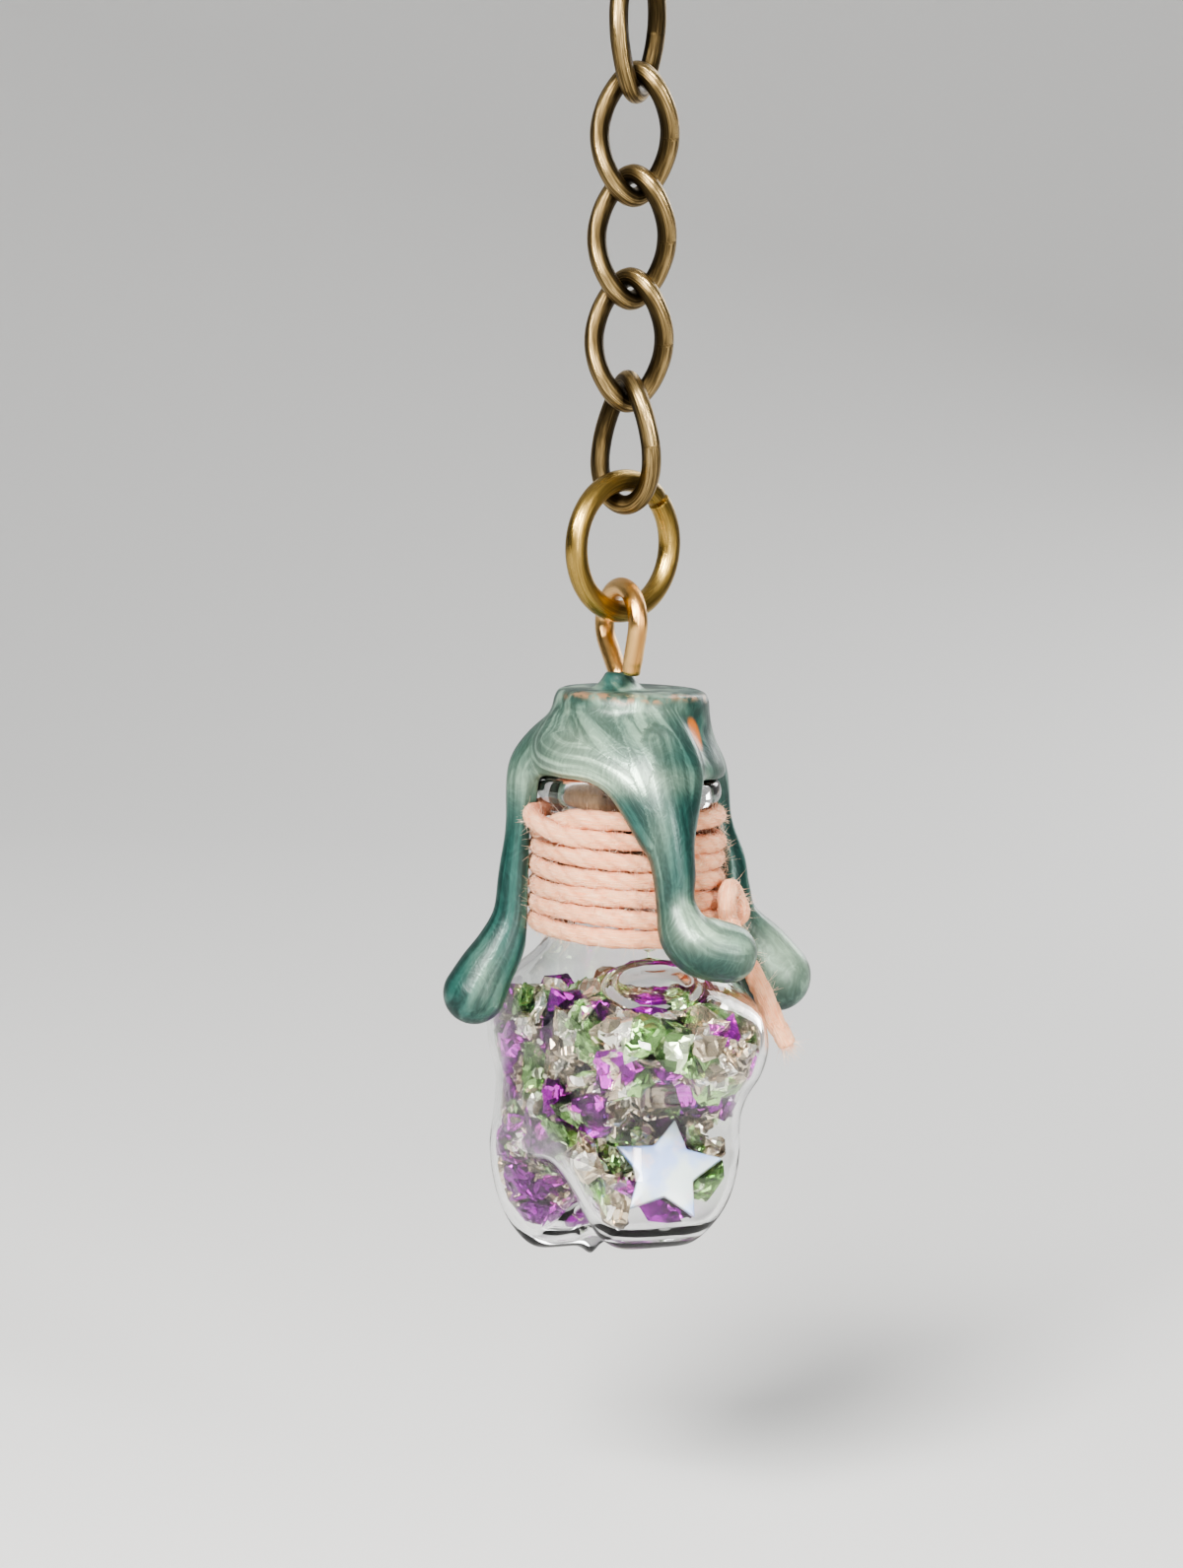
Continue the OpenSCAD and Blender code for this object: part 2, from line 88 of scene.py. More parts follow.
# The star's outline: reach to the side and to the front, drop at the side and at the front, squareness, and
# how far back its middle stands, as shares of the half width, the half depth and the body's height
SIDE, SIDE_DROP, FRONT, FRONT_DROP, SQUARE, BACK = range(6)
STAR_ROWS = np.array([
    [0.53, 0.06, 0.82, 0.05, 0.3, 0.01], [0.75, 0.14, 0.92, 0.11, 0.6, 0.02],
    [0.94, 0.23, 0.97, 0.18, 0.9, 0.03], [1.00, 0.32, 0.98, 0.25, 1.0, 0.03],
    [0.93, 0.41, 0.99, 0.33, 1.0, 0.02], [0.78, 0.50, 0.99, 0.40, 1.0, 0.00],
    [0.71, 0.58, 1.00, 0.46, 1.0, -0.03], [0.71, 0.66, 1.00, 0.52, 1.0, -0.05],
    [0.74, 0.76, 0.99, 0.58, 1.0, -0.06], [0.72, 0.87, 0.93, 0.64, 1.0, -0.06],
    [0.65, 0.95, 0.84, 0.69, 0.9, -0.06], [0.53, 1.00, 0.71, 0.72, 0.8, -0.05],
    [0.38, 0.97, 0.54, 0.745, 0.7, -0.03], [0.23, 0.88, 0.36, 0.76, 0.5, -0.02], [0.11, 0.80, 0.18, 0.77, 0.2, 0],
])
LIP_ROWS = np.array([[0.35, 0], [0.8, 0.1], [1, 0.35], [1, 0.65], [0.7, 0.9], [0.2, 1.05]])

# Wax drips: angle round the neck, distance from the bottle's middle, drop below the lip's top, radius
DRIPS = {
    "left": [(-84, 4.6, -2.0, 1.3), (-86, 5.7, -0.5, 1.3), (-86, 5.95, 1.2, 1.15), (-86, 6.1, 3.6, 0.97),
             (-86, 6.3, 6.0, 1.0), (-86, 6.45, 8.1, 1.1), (-86, 7.05, 9.9, 1.4), (-86, 7.85, 11.35, 1.62),
             (-86, 8.45, 12.6, 1.8)],
    "front": [(14, 4.9, -1.6, 1.6), (16, 6.0, 0.2, 1.5), (19, 6.7, 2.4, 1.45), (22, 6.9, 4.6, 1.25),
              (23, 7.0, 6.4, 1.1), (26, 7.4, 7.9, 1.5), (32, 7.9, 8.7, 1.75), (41, 8.6, 9.1, 1.7)],
    "right": [(116, 3.9, -2.0, 1.1), (118, 5.0, -0.5, 1.2), (123, 5.75, 1.0, 1.12), (124, 6.0, 2.7, 1.05),
              (118, 6.4, 4.8, 1.1), (114, 6.5, 6.6, 1.15), (112, 6.85, 8.3, 1.28), (110, 8.1, 10.1, 1.8),
              (107, 9.1, 11.6, 2.05)],
    "back": [(-160, 4.5, -2.0, 1.25), (-160, 5.7, -0.6, 1.15), (-160, 6.3, 1.2, 0.9), (-160, 6.5, 3.6, 0.85)],
    "left web": [(-68, 4.2, -2.9, 0.95), (-62, 4.9, -1.6, 1.2), (-42, 5.3, -1.1, 1.15), (-20, 5.45, -0.9, 1.05),
                 (-3, 5.9, 0.1, 1.1), (13, 6.6, 2.8, 1.1)],
    "right web": [(26, 3.8, -3.4, 1.0), (32, 4.6, -2.2, 1.15), (35, 5.3, -0.9, 1.15), (33, 5.9, 0.3, 1.05),
                  (23, 6.7, 3.4, 1.1)],
    "left fill": [(-34, 4.0, -3.2, 0.9), (-20, 4.5, -2.3, 1.15), (-8, 4.9, -1.4, 1.3), (4, 5.2, -0.7, 1.4)],
    "head": [(2, 4.2, -2.6, 1.2), (10, 5.2, -1.0, 1.6), (14, 5.9, 0.4, 1.5)],
}
# The cord's line after its last turn: through the knot, and down its free end
KNOT_POINTS = [[4.2, 5.1, -52.1], [4.1, 4.8, -51.0], [4.8, 4.0, -50.5], [5.45, 3.5, -51.2], [5.05, 3.85, -52.1]]
TAIL_POINTS = [[5.3, 4.4, -53.5], [5.5, 4.9, -54.6], [5.6, 5.5, -55.7], [5.6, 6.1, -56.8], [5.6, 6.7, -58.0],
               [5.7, 7.5, -59.3]]

# ---------------- camera

PHOTO_W, PHOTO_H, PIXELS_PER_MM = 1200, 1591, 18
VIEW_AZIMUTH, VIEW_ELEVATION, VIEW_DISTANCE, VIEW_ROLL = 62, 6, 260, 1.6
VIEW_CENTRE = np.array([0, 0, -44.97])
PHOTO_MIDDLE_X = 625.5
SENSOR = 36


def placed(name, data):
    """A new object for a mesh, a light or a camera, linked into the scene."""
    thing = bpy.data.objects.new(name, data)
    bpy.context.scene.collection.objects.link(thing)
    return thing


def make_camera():
    """A camera that looks at the pendant's middle as the photograph does, with the photograph's small roll."""
    right, back = bearing(VIEW_AZIMUTH), direction(VIEW_AZIMUTH, VIEW_ELEVATION)
    up, r = np.cross(back, right), np.radians(VIEW_ROLL)
    data = bpy.data.cameras.new("camera")
    data.sensor_width = SENSOR
    data.lens = SENSOR * VIEW_DISTANCE * PIXELS_PER_MM / PHOTO_H
    data.shift_x = (PHOTO_W / 2 - PHOTO_MIDDLE_X) / PHOTO_H
    data.clip_start, data.clip_end = 0.01, 20
    matrix = np.eye(4)
    matrix[:3, 0] = np.cos(r) * right + np.sin(r) * up
    matrix[:3, 1] = -np.sin(r) * right + np.cos(r) * up
    matrix[:3, 2] = back
    matrix[:3, 3] = (VIEW_CENTRE + VIEW_DISTANCE * back) * MM
    camera = placed("camera", data)
    camera.matrix_world = Matrix(matrix.tolist())
    bpy.context.scene.camera = camera


def camera_matrix():
    """The camera's directions and place, as an array."""
    return np.array(bpy.context.scene.camera.matrix_world)


def on_photo(points):
    """Where points in millimetres land in the photograph: pixels across and down."""
    matrix = camera_matrix()
    seen = (points * MM - matrix[:3, 3]) @ matrix[:3, :3]
    k = VIEW_DISTANCE * PIXELS_PER_MM / -seen[..., 2]
    return PHOTO_MIDDLE_X + seen[..., 0] * k, PHOTO_H / 2 - seen[..., 1] * k


# ---------------- surfaces


def unit(v):
    """Vectors divided by their lengths."""
    return v / np.maximum(np.linalg.norm(v, axis=-1, keepdims=True), 1e-12)


def smooth_step(x, low, high):
    """0 below low and 1 above high, with t * t * (3 - 2t) between."""
    t = np.clip((x - low) / (high - low), 0, 1)
    return t * t * (3 - 2 * t)


def round_angles(count):
    """Even angles round a circle."""
    return np.linspace(0, 2 * np.pi, count, endpoint=False)


def lengths_along(path):
    """The length of a line up to each of its points."""
    return np.concatenate([[0], np.cumsum(np.linalg.norm(np.diff(path, axis=0), axis=1))])


def curve_through(points, count):
    """A smooth line through points, at even steps of the point's number: Catmull-Rom, where each stretch is the
    cubic whose slope at a point is half the step between the points beside it."""
    p = np.asarray(points, float)
    p = np.concatenate([[2 * p[0] - p[1]], p, [2 * p[-1] - p[-2]]])
    u = np.linspace(0, len(p) - 3, count)
    i = np.minimum(u.astype(int), len(p) - 4)
    t = (u - i)[:, None]
    a, b, c, d = p[i], p[i + 1], p[i + 2], p[i + 3]
    return b + t / 2 * (c - a + t * (2 * a - 5 * b + 4 * c - d + t * (3 * (b - c) + d - a)))


def evenly(path, step):
    """The same line with its points a step apart."""
    s = lengths_along(path)
    at = np.linspace(0, s[-1], max(4, int(round(s[-1] / step)) + 1))
    return np.stack([np.interp(at, s, path[:, k]) for k in range(3)], 1)


def frame_along(path, out, closed=False):
    """At each point of a line two directions across it: n is out less its share along the line's direction t,
    and b is t x n."""
    t = unit(np.roll(path, -1, 0) - np.roll(path, 1, 0)) if closed else unit(np.gradient(path, axis=0))
    n = unit(out - t * np.sum(out * t, -1, keepdims=True))
    return n, np.cross(t, n)


def tube(path, out, radius, sides, closed=False, shape=None):
    """A wire's surface. At point i and angle a it lies at path + r * (cos(a) * n + sin(a) * b), with n and b
    across the path. shape(a, s) scales r, with s the length along the path. Returns the rings, and for patterns
    (cos(a), sin(a), s) at each point."""
    n, b = frame_along(path, np.broadcast_to(out, path.shape), closed)
    s = lengths_along(path)
    a = round_angles(sides)
    r = np.broadcast_to(np.asarray(radius, float), len(path))[:, None]
    if shape is not None:
        r = r * shape(a[None, :], s[:, None])
    c, d = np.cos(a)[:, None], np.sin(a)[:, None]
    rings = path[:, None] + r[..., None] * (c * n[:, None] + d * b[:, None])
    return rings, np.stack(np.broadcast_arrays(np.cos(a)[None, :], np.sin(a)[None, :], s[:, None]), -1)


def turned(a, rows):
    """Level rings at bearings a: (r * cos(a), r * sin(a), z) for each row's r and z, numbers or arrays."""
    return np.array([np.stack(np.broadcast_arrays(r * np.cos(a), r * np.sin(a), z), -1) for r, z in rows])


def rounded_ends(rings, bulge, rows):
    """The rings with a dome at both ends: ring k of an end is scaled by cos(k) and moved out by bulge * sin(k)."""
    k = np.radians(np.linspace(0, 80, rows + 1)[1:])[:, None, None]
    domes = []
    for end, beside in ((0, 1), (-1, -2)):
        middle = rings[end].mean(0)
        away = unit(middle - rings[beside].mean(0))
        r = np.linalg.norm(rings[end] - middle, axis=1).mean()
        domes.append(middle + np.cos(k) * (rings[end] - middle) + bulge * r * np.sin(k) * away)
    return np.concatenate([domes[0][::-1], rings, domes[1]])


def padded(values, rows):
    """Values at rings, with those at both ends repeated for rows more rings."""
    return np.concatenate([np.repeat(values[:1], rows, 0), values, np.repeat(values[-1:], rows, 0)])


def level_out(points):
    """The level unit vectors to points from the bottle's upright middle line."""
    return unit((points - BOTTLE_AT) * [1, 1, 0])


def grid_faces(rows, sides, closed=False):
    """Four-sided faces between neighbouring rings."""
    i = np.arange(rows if closed else rows - 1)[:, None]
    j = np.arange(sides)[None, :]
    below, beside = (i + 1) % rows, (j + 1) % sides
    corners = [i * sides + j, i * sides + beside, below * sides + beside, below * sides + j]
    return np.stack(corners, -1).reshape(-1, 4)


def end_fans(rows, sides):
    """Triangles that shut both ends of open rings, each round a middle point numbered after all the rings."""
    j = np.arange(sides)
    beside, top, last = (j + 1) % sides, rows * sides, (rows - 1) * sides
    return np.concatenate([np.stack([beside, j, 0 * j + top], -1),
                           np.stack([last + j, last + beside, 0 * j + top + 1], -1)])


def repeated(faces, count, points):
    """The faces of one shape for a count of such shapes, each with so many points."""
    return (faces[None] + (np.arange(count) * points)[:, None, None]).reshape(-1, faces.shape[1])


def shut(rings):
    """The points and the faces of open rings, with both ends shut."""
    rows, sides = rings.shape[:2]
    verts = np.concatenate([rings.reshape(-1, 3), rings[0].mean(0)[None], rings[-1].mean(0)[None]])
    return verts, outward(verts, [grid_faces(rows, sides), end_fans(rows, sides)])


def outward(verts, groups):
    """The faces, turned round together where the volume inside them, the sum over triangles of a . (b x c),
    comes out negative."""
    total, verts = 0, verts - verts.mean(0)
    for faces in groups:
        for k in range(1, faces.shape[1] - 1):
            a, b, c = verts[faces[:, 0]], verts[faces[:, k]], verts[faces[:, k + 1]]
            total += np.sum(a * np.cross(b, c))
    return [g[:, ::-1] for g in groups] if total < 0 else groups


def new_mesh(name, verts, groups, material=None, smooth=False):
    """A mesh from points in metres and groups of faces."""
    mesh = bpy.data.meshes.new(name)
    mesh.from_pydata(verts.tolist(), [], [f for g in groups for f in g.tolist()])
    mesh.polygons.foreach_set("use_smooth", np.full(len(mesh.polygons), smooth))
    if material:
        mesh.materials.append(material)
    return mesh


def add_piece(name, verts, groups, body, slot, material, smooth=True, attributes=None, replaces=()):
    """A piece from points in millimetres and arrays of faces, with a value or a vector at each point for each
    attribute."""
    verts = np.asarray(verts, float)
    mesh = new_mesh(name, verts * MM, outward(verts, groups), material, smooth)
    for key, values in (attributes or {}).items():
        kind, field = ("FLOAT", "value") if values.ndim == 1 else ("FLOAT_VECTOR", "vector")
        made = mesh.attributes.new(key, kind, "POINT")
        made.data.foreach_set(field, np.asarray(values, np.float32).ravel())
    mesh.update()
    piece = placed(name, mesh)
    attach(piece, body)
    if replaces:
        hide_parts(*replaces)
    return piece


def add_rings(name, rings, body, slot, material, closed=False, **more):
    """A piece from rings of points, with its attributes as rings too. An open one is shut at both ends."""
    rows, sides = rings.shape[:2]
    attributes = {k: v.reshape(rows * sides, *v.shape[2:]) for k, v in more.pop("attributes", {}).items()}
    if closed:
        verts, groups = rings.reshape(-1, 3), [grid_faces(rows, sides, True)]
    else:
        verts, groups = shut(rings)
        for key, v in attributes.items():
            ends = [v[:sides].mean(0, keepdims=True), v[-sides:].mean(0, keepdims=True)]
            attributes[key] = np.concatenate([v, *ends])
    return add_piece(name, verts, groups, body, slot, material, attributes=attributes, **more)


# ---------------- materials


def fill(tree, node, values):
    """Puts values into a node's inputs, by name or number: a plain value, or an output to link."""
    for key, value in values.items():
        socket = node.inputs[key.replace("_", " ") if isinstance(key, str) else key]
        if isinstance(value, bpy.types.NodeSocket):
            tree.links.new(value, socket)
        else:
            socket.default_value = (*value, 1.0) if socket.type == "RGBA" else value
    return node


def put(tree, kind, values=None, **settings):
    """A node in a tree, with its settings and the values of its inputs."""
    node = tree.nodes.new(kind)
    for key, value in settings.items():
        setattr(node, key, value)
    return fill(tree, node, values or {})


def group_tree(name, inputs, output, kind):
    """An empty shader node group with named sockets and one output, with its input and output nodes."""
    tree = bpy.data.node_groups.new(name, "ShaderNodeTree")
    for socket, socket_kind in inputs:
        tree.interface.new_socket(socket, in_out="INPUT", socket_type=socket_kind)
    tree.interface.new_socket(output, in_out="OUTPUT", socket_type=kind)
    return tree, tree.nodes.new("NodeGroupInput").outputs, tree.nodes.new("NodeGroupOutput").inputs


def noise_mask(name, vector, first, second):
    """A group whose mask is noise at a vector, cut between a low and a high level, with two numbers more."""
    sockets = [(vector, "NodeSocketVector"), *((n, "NodeSocketFloat") for n in (first, second, "Low", "High"))]
    tree, given, result = group_tree(name, sockets, "Mask", "NodeSocketFloat")
    noise = put(tree, "ShaderNodeTexNoise")
    cut = put(tree, "ShaderNodeMapRange", {"Value": noise.outputs["Fac"], "From Min": given["Low"],
                                           "From Max": given["High"]}, interpolation_type="SMOOTHSTEP")
    tree.links.new(cut.outputs["Result"], result["Mask"])
    return tree, given, noise


def make_mottle():
    """A mask of cloudy patches, at a scale and with a detail."""
    tree, given, noise = noise_mask("Mottle", "Vector", "Scale", "Detail")
    fill(tree, noise, {key: given[key] for key in ("Vector", "Scale", "Detail")})
    return tree


def make_streaks():
    """A mask of fine lines along a wire, a cord or a drip: noise on the lay attribute, with the length squeezed."""
    tree, given, noise = noise_mask("Streaks", "Lay", "Around", "Along")
    scale = put(tree, "ShaderNodeCombineXYZ", {"X": given["Around"], "Y": given["Around"], "Z": given["Along"]})
    at = put(tree, "ShaderNodeVectorMath", {0: given["Lay"], 1: scale.outputs[0]}, operation="MULTIPLY")
    fill(tree, noise, {"Vector": at.outputs[0], "Scale": 1.0, "Detail": 5.0})
    return tree


def make_tint():
    """A colour from three: the first to the second by one mask, then to the third by another."""
    sockets = [(n, "NodeSocketColor") for n in ("Base", "Second", "Third")]
    sockets += [(n, "NodeSocketFloat") for n in ("Second Mask", "Third Mask")]
    tree, given, result = group_tree("Tint", sockets, "Color", "NodeSocketColor")
    mixed = given["Base"]
    for other in ("Second", "Third"):
        mixed = put(tree, "ShaderNodeMix", {"Factor": given[other + " Mask"], 6: mixed, 7: given[other]},
                    data_type="RGBA").outputs[2]
    tree.links.new(mixed, result["Color"])
    return tree


MOTTLE, TINT, STREAKS = make_mottle(), make_tint(), make_streaks()


class Finish:
    """A material with one Principled shader, and short calls that put nodes into it."""

    def __init__(self, name, **sockets):
        self.material = bpy.data.materials.new(name)
        self.material.use_nodes = True
        self.tree = self.material.node_tree
        self.shader = self.tree.nodes["Principled BSDF"]
        self.set(**sockets)

    def set(self, **sockets):
        fill(self.tree, self.shader, sockets)
        return self.material

    def put(self, kind, values=None, **settings):
        return put(self.tree, kind, values, **settings)

    def scaled(self, vector, by):
        return self.put("ShaderNodeVectorMath", {0: vector, 1: by}, operation="MULTIPLY").outputs[0]

    def place(self):
        """Object coordinates, in millimetres."""
        return self.scaled(self.put("ShaderNodeTexCoord").outputs["Object"], (1000, 1000, 1000))

    def attribute(self, name, output="Fac"):
        return self.put("ShaderNodeAttribute", attribute_name=name).outputs[output]

    def group(self, tree, **values):
        node = self.tree.nodes.new("ShaderNodeGroup")
        node.node_tree = tree
        return fill(self.tree, node, values).outputs[0]

    def mottle(self, vector, scale, low=0.4, high=0.6, detail=4.0):
        return self.group(MOTTLE, Vector=vector, Scale=scale, Low=low, High=high, Detail=detail)

    def streaks(self, lay, around, along, low=0.4, high=0.6):
        return self.group(STREAKS, Lay=lay, Around=around, Along=along, Low=low, High=high)

    def tint(self, base, second, mask, third, third_mask):
        return self.group(TINT, Base=base, Second=second, Second_Mask=mask, Third=third, Third_Mask=third_mask)

    def math(self, operation, a, b=0.0):
        return self.put("ShaderNodeMath", {0: a, 1: b}, operation=operation, use_clamp=True).outputs[0]

    def times(self, a, b):
        return self.math("MULTIPLY", a, b)

    def sum(self, a, share, b, other_share):
        """Two masks added, each by its share."""
        return self.math("ADD", self.times(a, share), self.times(b, other_share))

    def ramp(self, value, low, high):
        return self.put("ShaderNodeMapRange", {"Value": value, "To Min": low, "To Max": high}).outputs["Result"]

    def bump(self, height, strength, distance):
        values = {"Height": height, "Strength": strength, "Distance": distance}
        return self.put("ShaderNodeBump", values).outputs["Normal"]


def wire_metal(name, dark, middle, bright, patina, roughness):
    """Metal wire: dark in its hollows, brushed along its length, and worn bright where the wear attribute is
    high. patina is how much of it is dark."""
    f = Finish(name, Metallic=1.0)
    lay, wear = f.attribute("lay", "Vector"), f.attribute("wear")
    brushed = f.streaks(lay, 7.0, 0.4, 0.42, 0.6)
    clouds = f.streaks(lay, 1.7, 0.3, 0.4, 0.62)
    worn = f.times(wear, f.math("ADD", 1 - patina, f.times(brushed, f.ramp(clouds, 0.35, 1.0))))
    return f.set(
        Base_Color=f.tint(dark, middle, f.sum(wear, 0.8, clouds, 0.5), bright, f.times(worn, 0.9)),
        Roughness=f.ramp(worn, roughness + 0.2, roughness),
        Normal=f.bump(f.streaks(lay, 22.0, 0.5), 0.25, 0.00004),
    )


def make_wax():
    """Pearl sealing wax: deep green with paler flow lines along the drips and broad pale clouds on the cap, and
    cork that shows through at the top rim and in one thin patch."""
    f = Finish("pearl_wax", Coat_Weight=0.15, Coat_Roughness=0.3)
    at, lay, on_drip = f.place(), f.attribute("lay", "Vector"), f.attribute("on_drip")
    swirl = f.put("ShaderNodeTexNoise", {"Vector": at, "Scale": 0.3, "Detail": 2.0}).outputs["Color"]
    bent = f.put("ShaderNodeVectorMath", {0: swirl, 1: (4, 4, 4), 2: at}, operation="MULTIPLY_ADD").outputs[0]
    tall = f.scaled(bent, (1, 1, 0.35))
    cap_lines = f.mottle(tall, 0.8, 0.42, 0.66, 2.5)
    drip_lines = f.streaks(lay, 2.4, 0.1, 0.44, 0.66)
    lines = f.put("ShaderNodeMix", {"Factor": on_drip, 2: cap_lines, 3: drip_lines}, data_type="FLOAT").outputs[0]
    fine = f.mottle(tall, 5.0, 0.35, 0.75, 5.0)
    clouds = f.times(f.mottle(tall, 0.42, 0.42, 0.6), f.ramp(on_drip, 0.9, 0.2))
    # Painted highlights, partly paler wax, at the pale places on the near side.
    pale = f.times(f.attribute("pale"), f.ramp(fine, 0.7, 1.0))
    body = f.tint((0.005, 0.03, 0.026), (0.038, 0.125, 0.105), f.sum(lines, 0.65, fine, 0.3), (0.64, 0.84, 0.62),
                  f.sum(clouds, f.ramp(lines, 0.04, 0.28), pale, f.ramp(lines, 0.4, 1.0)))
    thin = f.times(f.attribute("thin"), f.ramp(f.mottle(at, 1.9, 0.42, 0.56), 0.05, 0.9))
    bare = f.attribute("cork_patch")
    return f.set(
        Base_Color=f.tint(body, (0.3, 0.17, 0.09), thin, (0.45, 0.13, 0.015), bare),
        Metallic=f.ramp(f.math("MAXIMUM", thin, bare), 0.22, 0.0),
        Roughness=f.ramp(lines, 0.42, 0.3),
        Normal=f.bump(f.sum(lines, 0.6, fine, 0.4), 0.2, 0.00012),
    )


def make_cotton():
    """Twisted cotton: painted light on the plies' crowns and painted shade between them, between the turns and
    against the neck, with fine fibres along each ply.
    """
    f = Finish("cotton", Roughness=0.9, Sheen_Weight=0.35, Sheen_Roughness=0.6, Sheen_Tint=(1.0, 0.72, 0.55),
               Specular_IOR_Level=0.1, Subsurface_Weight=0.1, Subsurface_Scale=0.0006)
    fibre = f.streaks(f.attribute("lay", "Vector"), 9.0, 1.2, 0.35, 0.65)
    lit_crown, at = f.attribute("lit_crown"), f.place()
    uneven, fluff = f.mottle(at, 0.45, 0.4, 0.7), f.mottle(at, 4.0, 0.3, 0.7, 6.0)
    # Painted shade and light: the first colour is the cotton in shade, the second on the lit crowns, and the third
    # its paler fibres, shown only on the lit crowns.
    pale = f.times(f.math("ADD", fibre, f.times(uneven, 0.4)), f.times(lit_crown, 0.7))
    return f.set(Base_Color=f.tint((0.6, 0.17, 0.08), (1.0, 0.42, 0.22), lit_crown, (1.0, 0.66, 0.44), pale),
                 Normal=f.bump(f.sum(fibre, 0.6, fluff, 0.4), 0.8, 0.00012))


def make_hair():
    """The cotton's loose hairs: paler than the cord, as painted light on the thin hairs, and uneven along their
    length.
    """
    f = Finish("cotton_hair", Roughness=0.9, Specular_IOR_Level=0.1)
    patches = f.mottle(f.place(), 1.5)
    return f.set(Base_Color=f.tint((1.0, 0.6, 0.42), (1.0, 0.78, 0.62), patches, (1.0, 0.9, 0.8), 0.0))


def make_glass():
    """Clear glass that lets light through to what is in it. Its shadow rays pass straight through."""
    f = Finish("clear_glass", Base_Color=(0.985, 0.992, 0.99), Metallic=0.0, Roughness=0.015, IOR=1.48,
               Transmission_Weight=1.0)
    shadow = f.put("ShaderNodeLightPath").outputs["Is Shadow Ray"]
    clear = f.put("ShaderNodeBsdfTransparent", {"Color": (0.93, 0.95, 0.95)}).outputs[0]
    both = f.put("ShaderNodeMixShader", {0: shadow, 1: f.shader.outputs[0], 2: clear})
    f.tree.links.new(both.outputs[0], f.tree.nodes["Material Output"].inputs["Surface"])
    return f.material


def make_foil(name, dark, middle, bright):
    """Crumpled foil: small flat facets, each with its own painted shade, from square cells of random places, and
    near-white painted glints on some of the cells.
    """
    f = Finish(name, Metallic=0.9, Roughness=0.12)
    shade, at = f.attribute("shade"), f.place()
    cells = f.put("ShaderNodeTexVoronoi", {"Vector": at, "Scale": 1.15}, distance="CHEBYCHEV").outputs
    own = f.put("ShaderNodeSeparateColor", {0: cells["Color"]}).outputs
    lit = f.math("ADD", f.times(shade, 0.75), f.ramp(own[0], -0.17, 0.6))
    glint = f.times(f.math("GREATER_THAN", own[1], 0.72), 0.85)
    return f.set(Base_Color=f.tint(dark, middle, lit, bright, glint), Normal=f.bump(cells["Distance"], 0.9, 0.0006))


def make_opal():
    """Milky plastic with a faint play of blue, violet and cream."""
    f = Finish("opal", Roughness=0.32, Coat_Weight=0.2, Coat_Roughness=0.1, Subsurface_Weight=0.25,
               Subsurface_Scale=0.0008)
    at = f.place()
    return f.set(Base_Color=f.tint((0.14, 0.22, 0.45), (0.3, 0.345, 0.35), f.mottle(at, 0.34, 0.4, 0.6),
                                   (0.36, 0.28, 0.32), f.mottle(at, 0.7, 0.52, 0.7)))


def make_cork_finish():
    """Cork: warm brown with darker pores and pale grains."""
    f = Finish("cork", Roughness=0.85)
    at = f.place()
    return f.set(Base_Color=f.tint((0.17, 0.095, 0.045), (0.26, 0.155, 0.08), f.mottle(at, 0.9, 0.4, 0.6),
                                   (0.2, 0.09, 0.04), f.mottle(at, 1.6, 0.58, 0.66, 6.0)),
                 Normal=f.bump(f.mottle(at, 2.0, 0.3, 0.7, 6.0), 0.6, 0.0002))


LINK_BRASS = wire_metal("antique_brass", (0.014, 0.01, 0.005), (0.075, 0.051, 0.022), (0.68, 0.49, 0.23), 0.87, 0.22)
RING_BRASS = wire_metal("ring_brass", (0.05, 0.032, 0.009), (0.2, 0.13, 0.036), (0.62, 0.43, 0.14), 0.5, 0.22)
EYE_GOLD = wire_metal("eye_gold", (0.3, 0.11, 0.025), (0.9, 0.43, 0.13), (1.0, 0.66, 0.28), 0.15, 0.13)
WAX, COTTON, HAIR, GLASS, OPAL, CORK = (make() for make in (
    make_wax, make_cotton, make_hair, make_glass, make_opal, make_cork_finish))
FOILS = {
    "purple": make_foil("purple_foil", (0.03, 0.0, 0.035), (0.3, 0.001, 0.34), (0.85, 0.06, 0.85)),
    "green": make_foil("green_foil", (0.025, 0.06, 0.015), (0.4, 0.66, 0.24), (0.88, 1.0, 0.7)),
    "silver": make_foil("silver_foil", (0.1, 0.06, 0.025), (1.0, 0.86, 0.66), (1.0, 0.98, 0.92)),
}

# ---------------- cord

PLIES, TWIST_LENGTH, GROOVE, CORD_STEP = 3, 4.2, 0.1, 0.14
HAIR_ROOT, HAIR_WIDTH = 0.42, 0.013
# Points counted from the free end: where the way out stops turning, and where the line leaves the winding
STRAIGHT_FROM, LEAVES_FROM, LEAVES_TO = 40, 105, 80


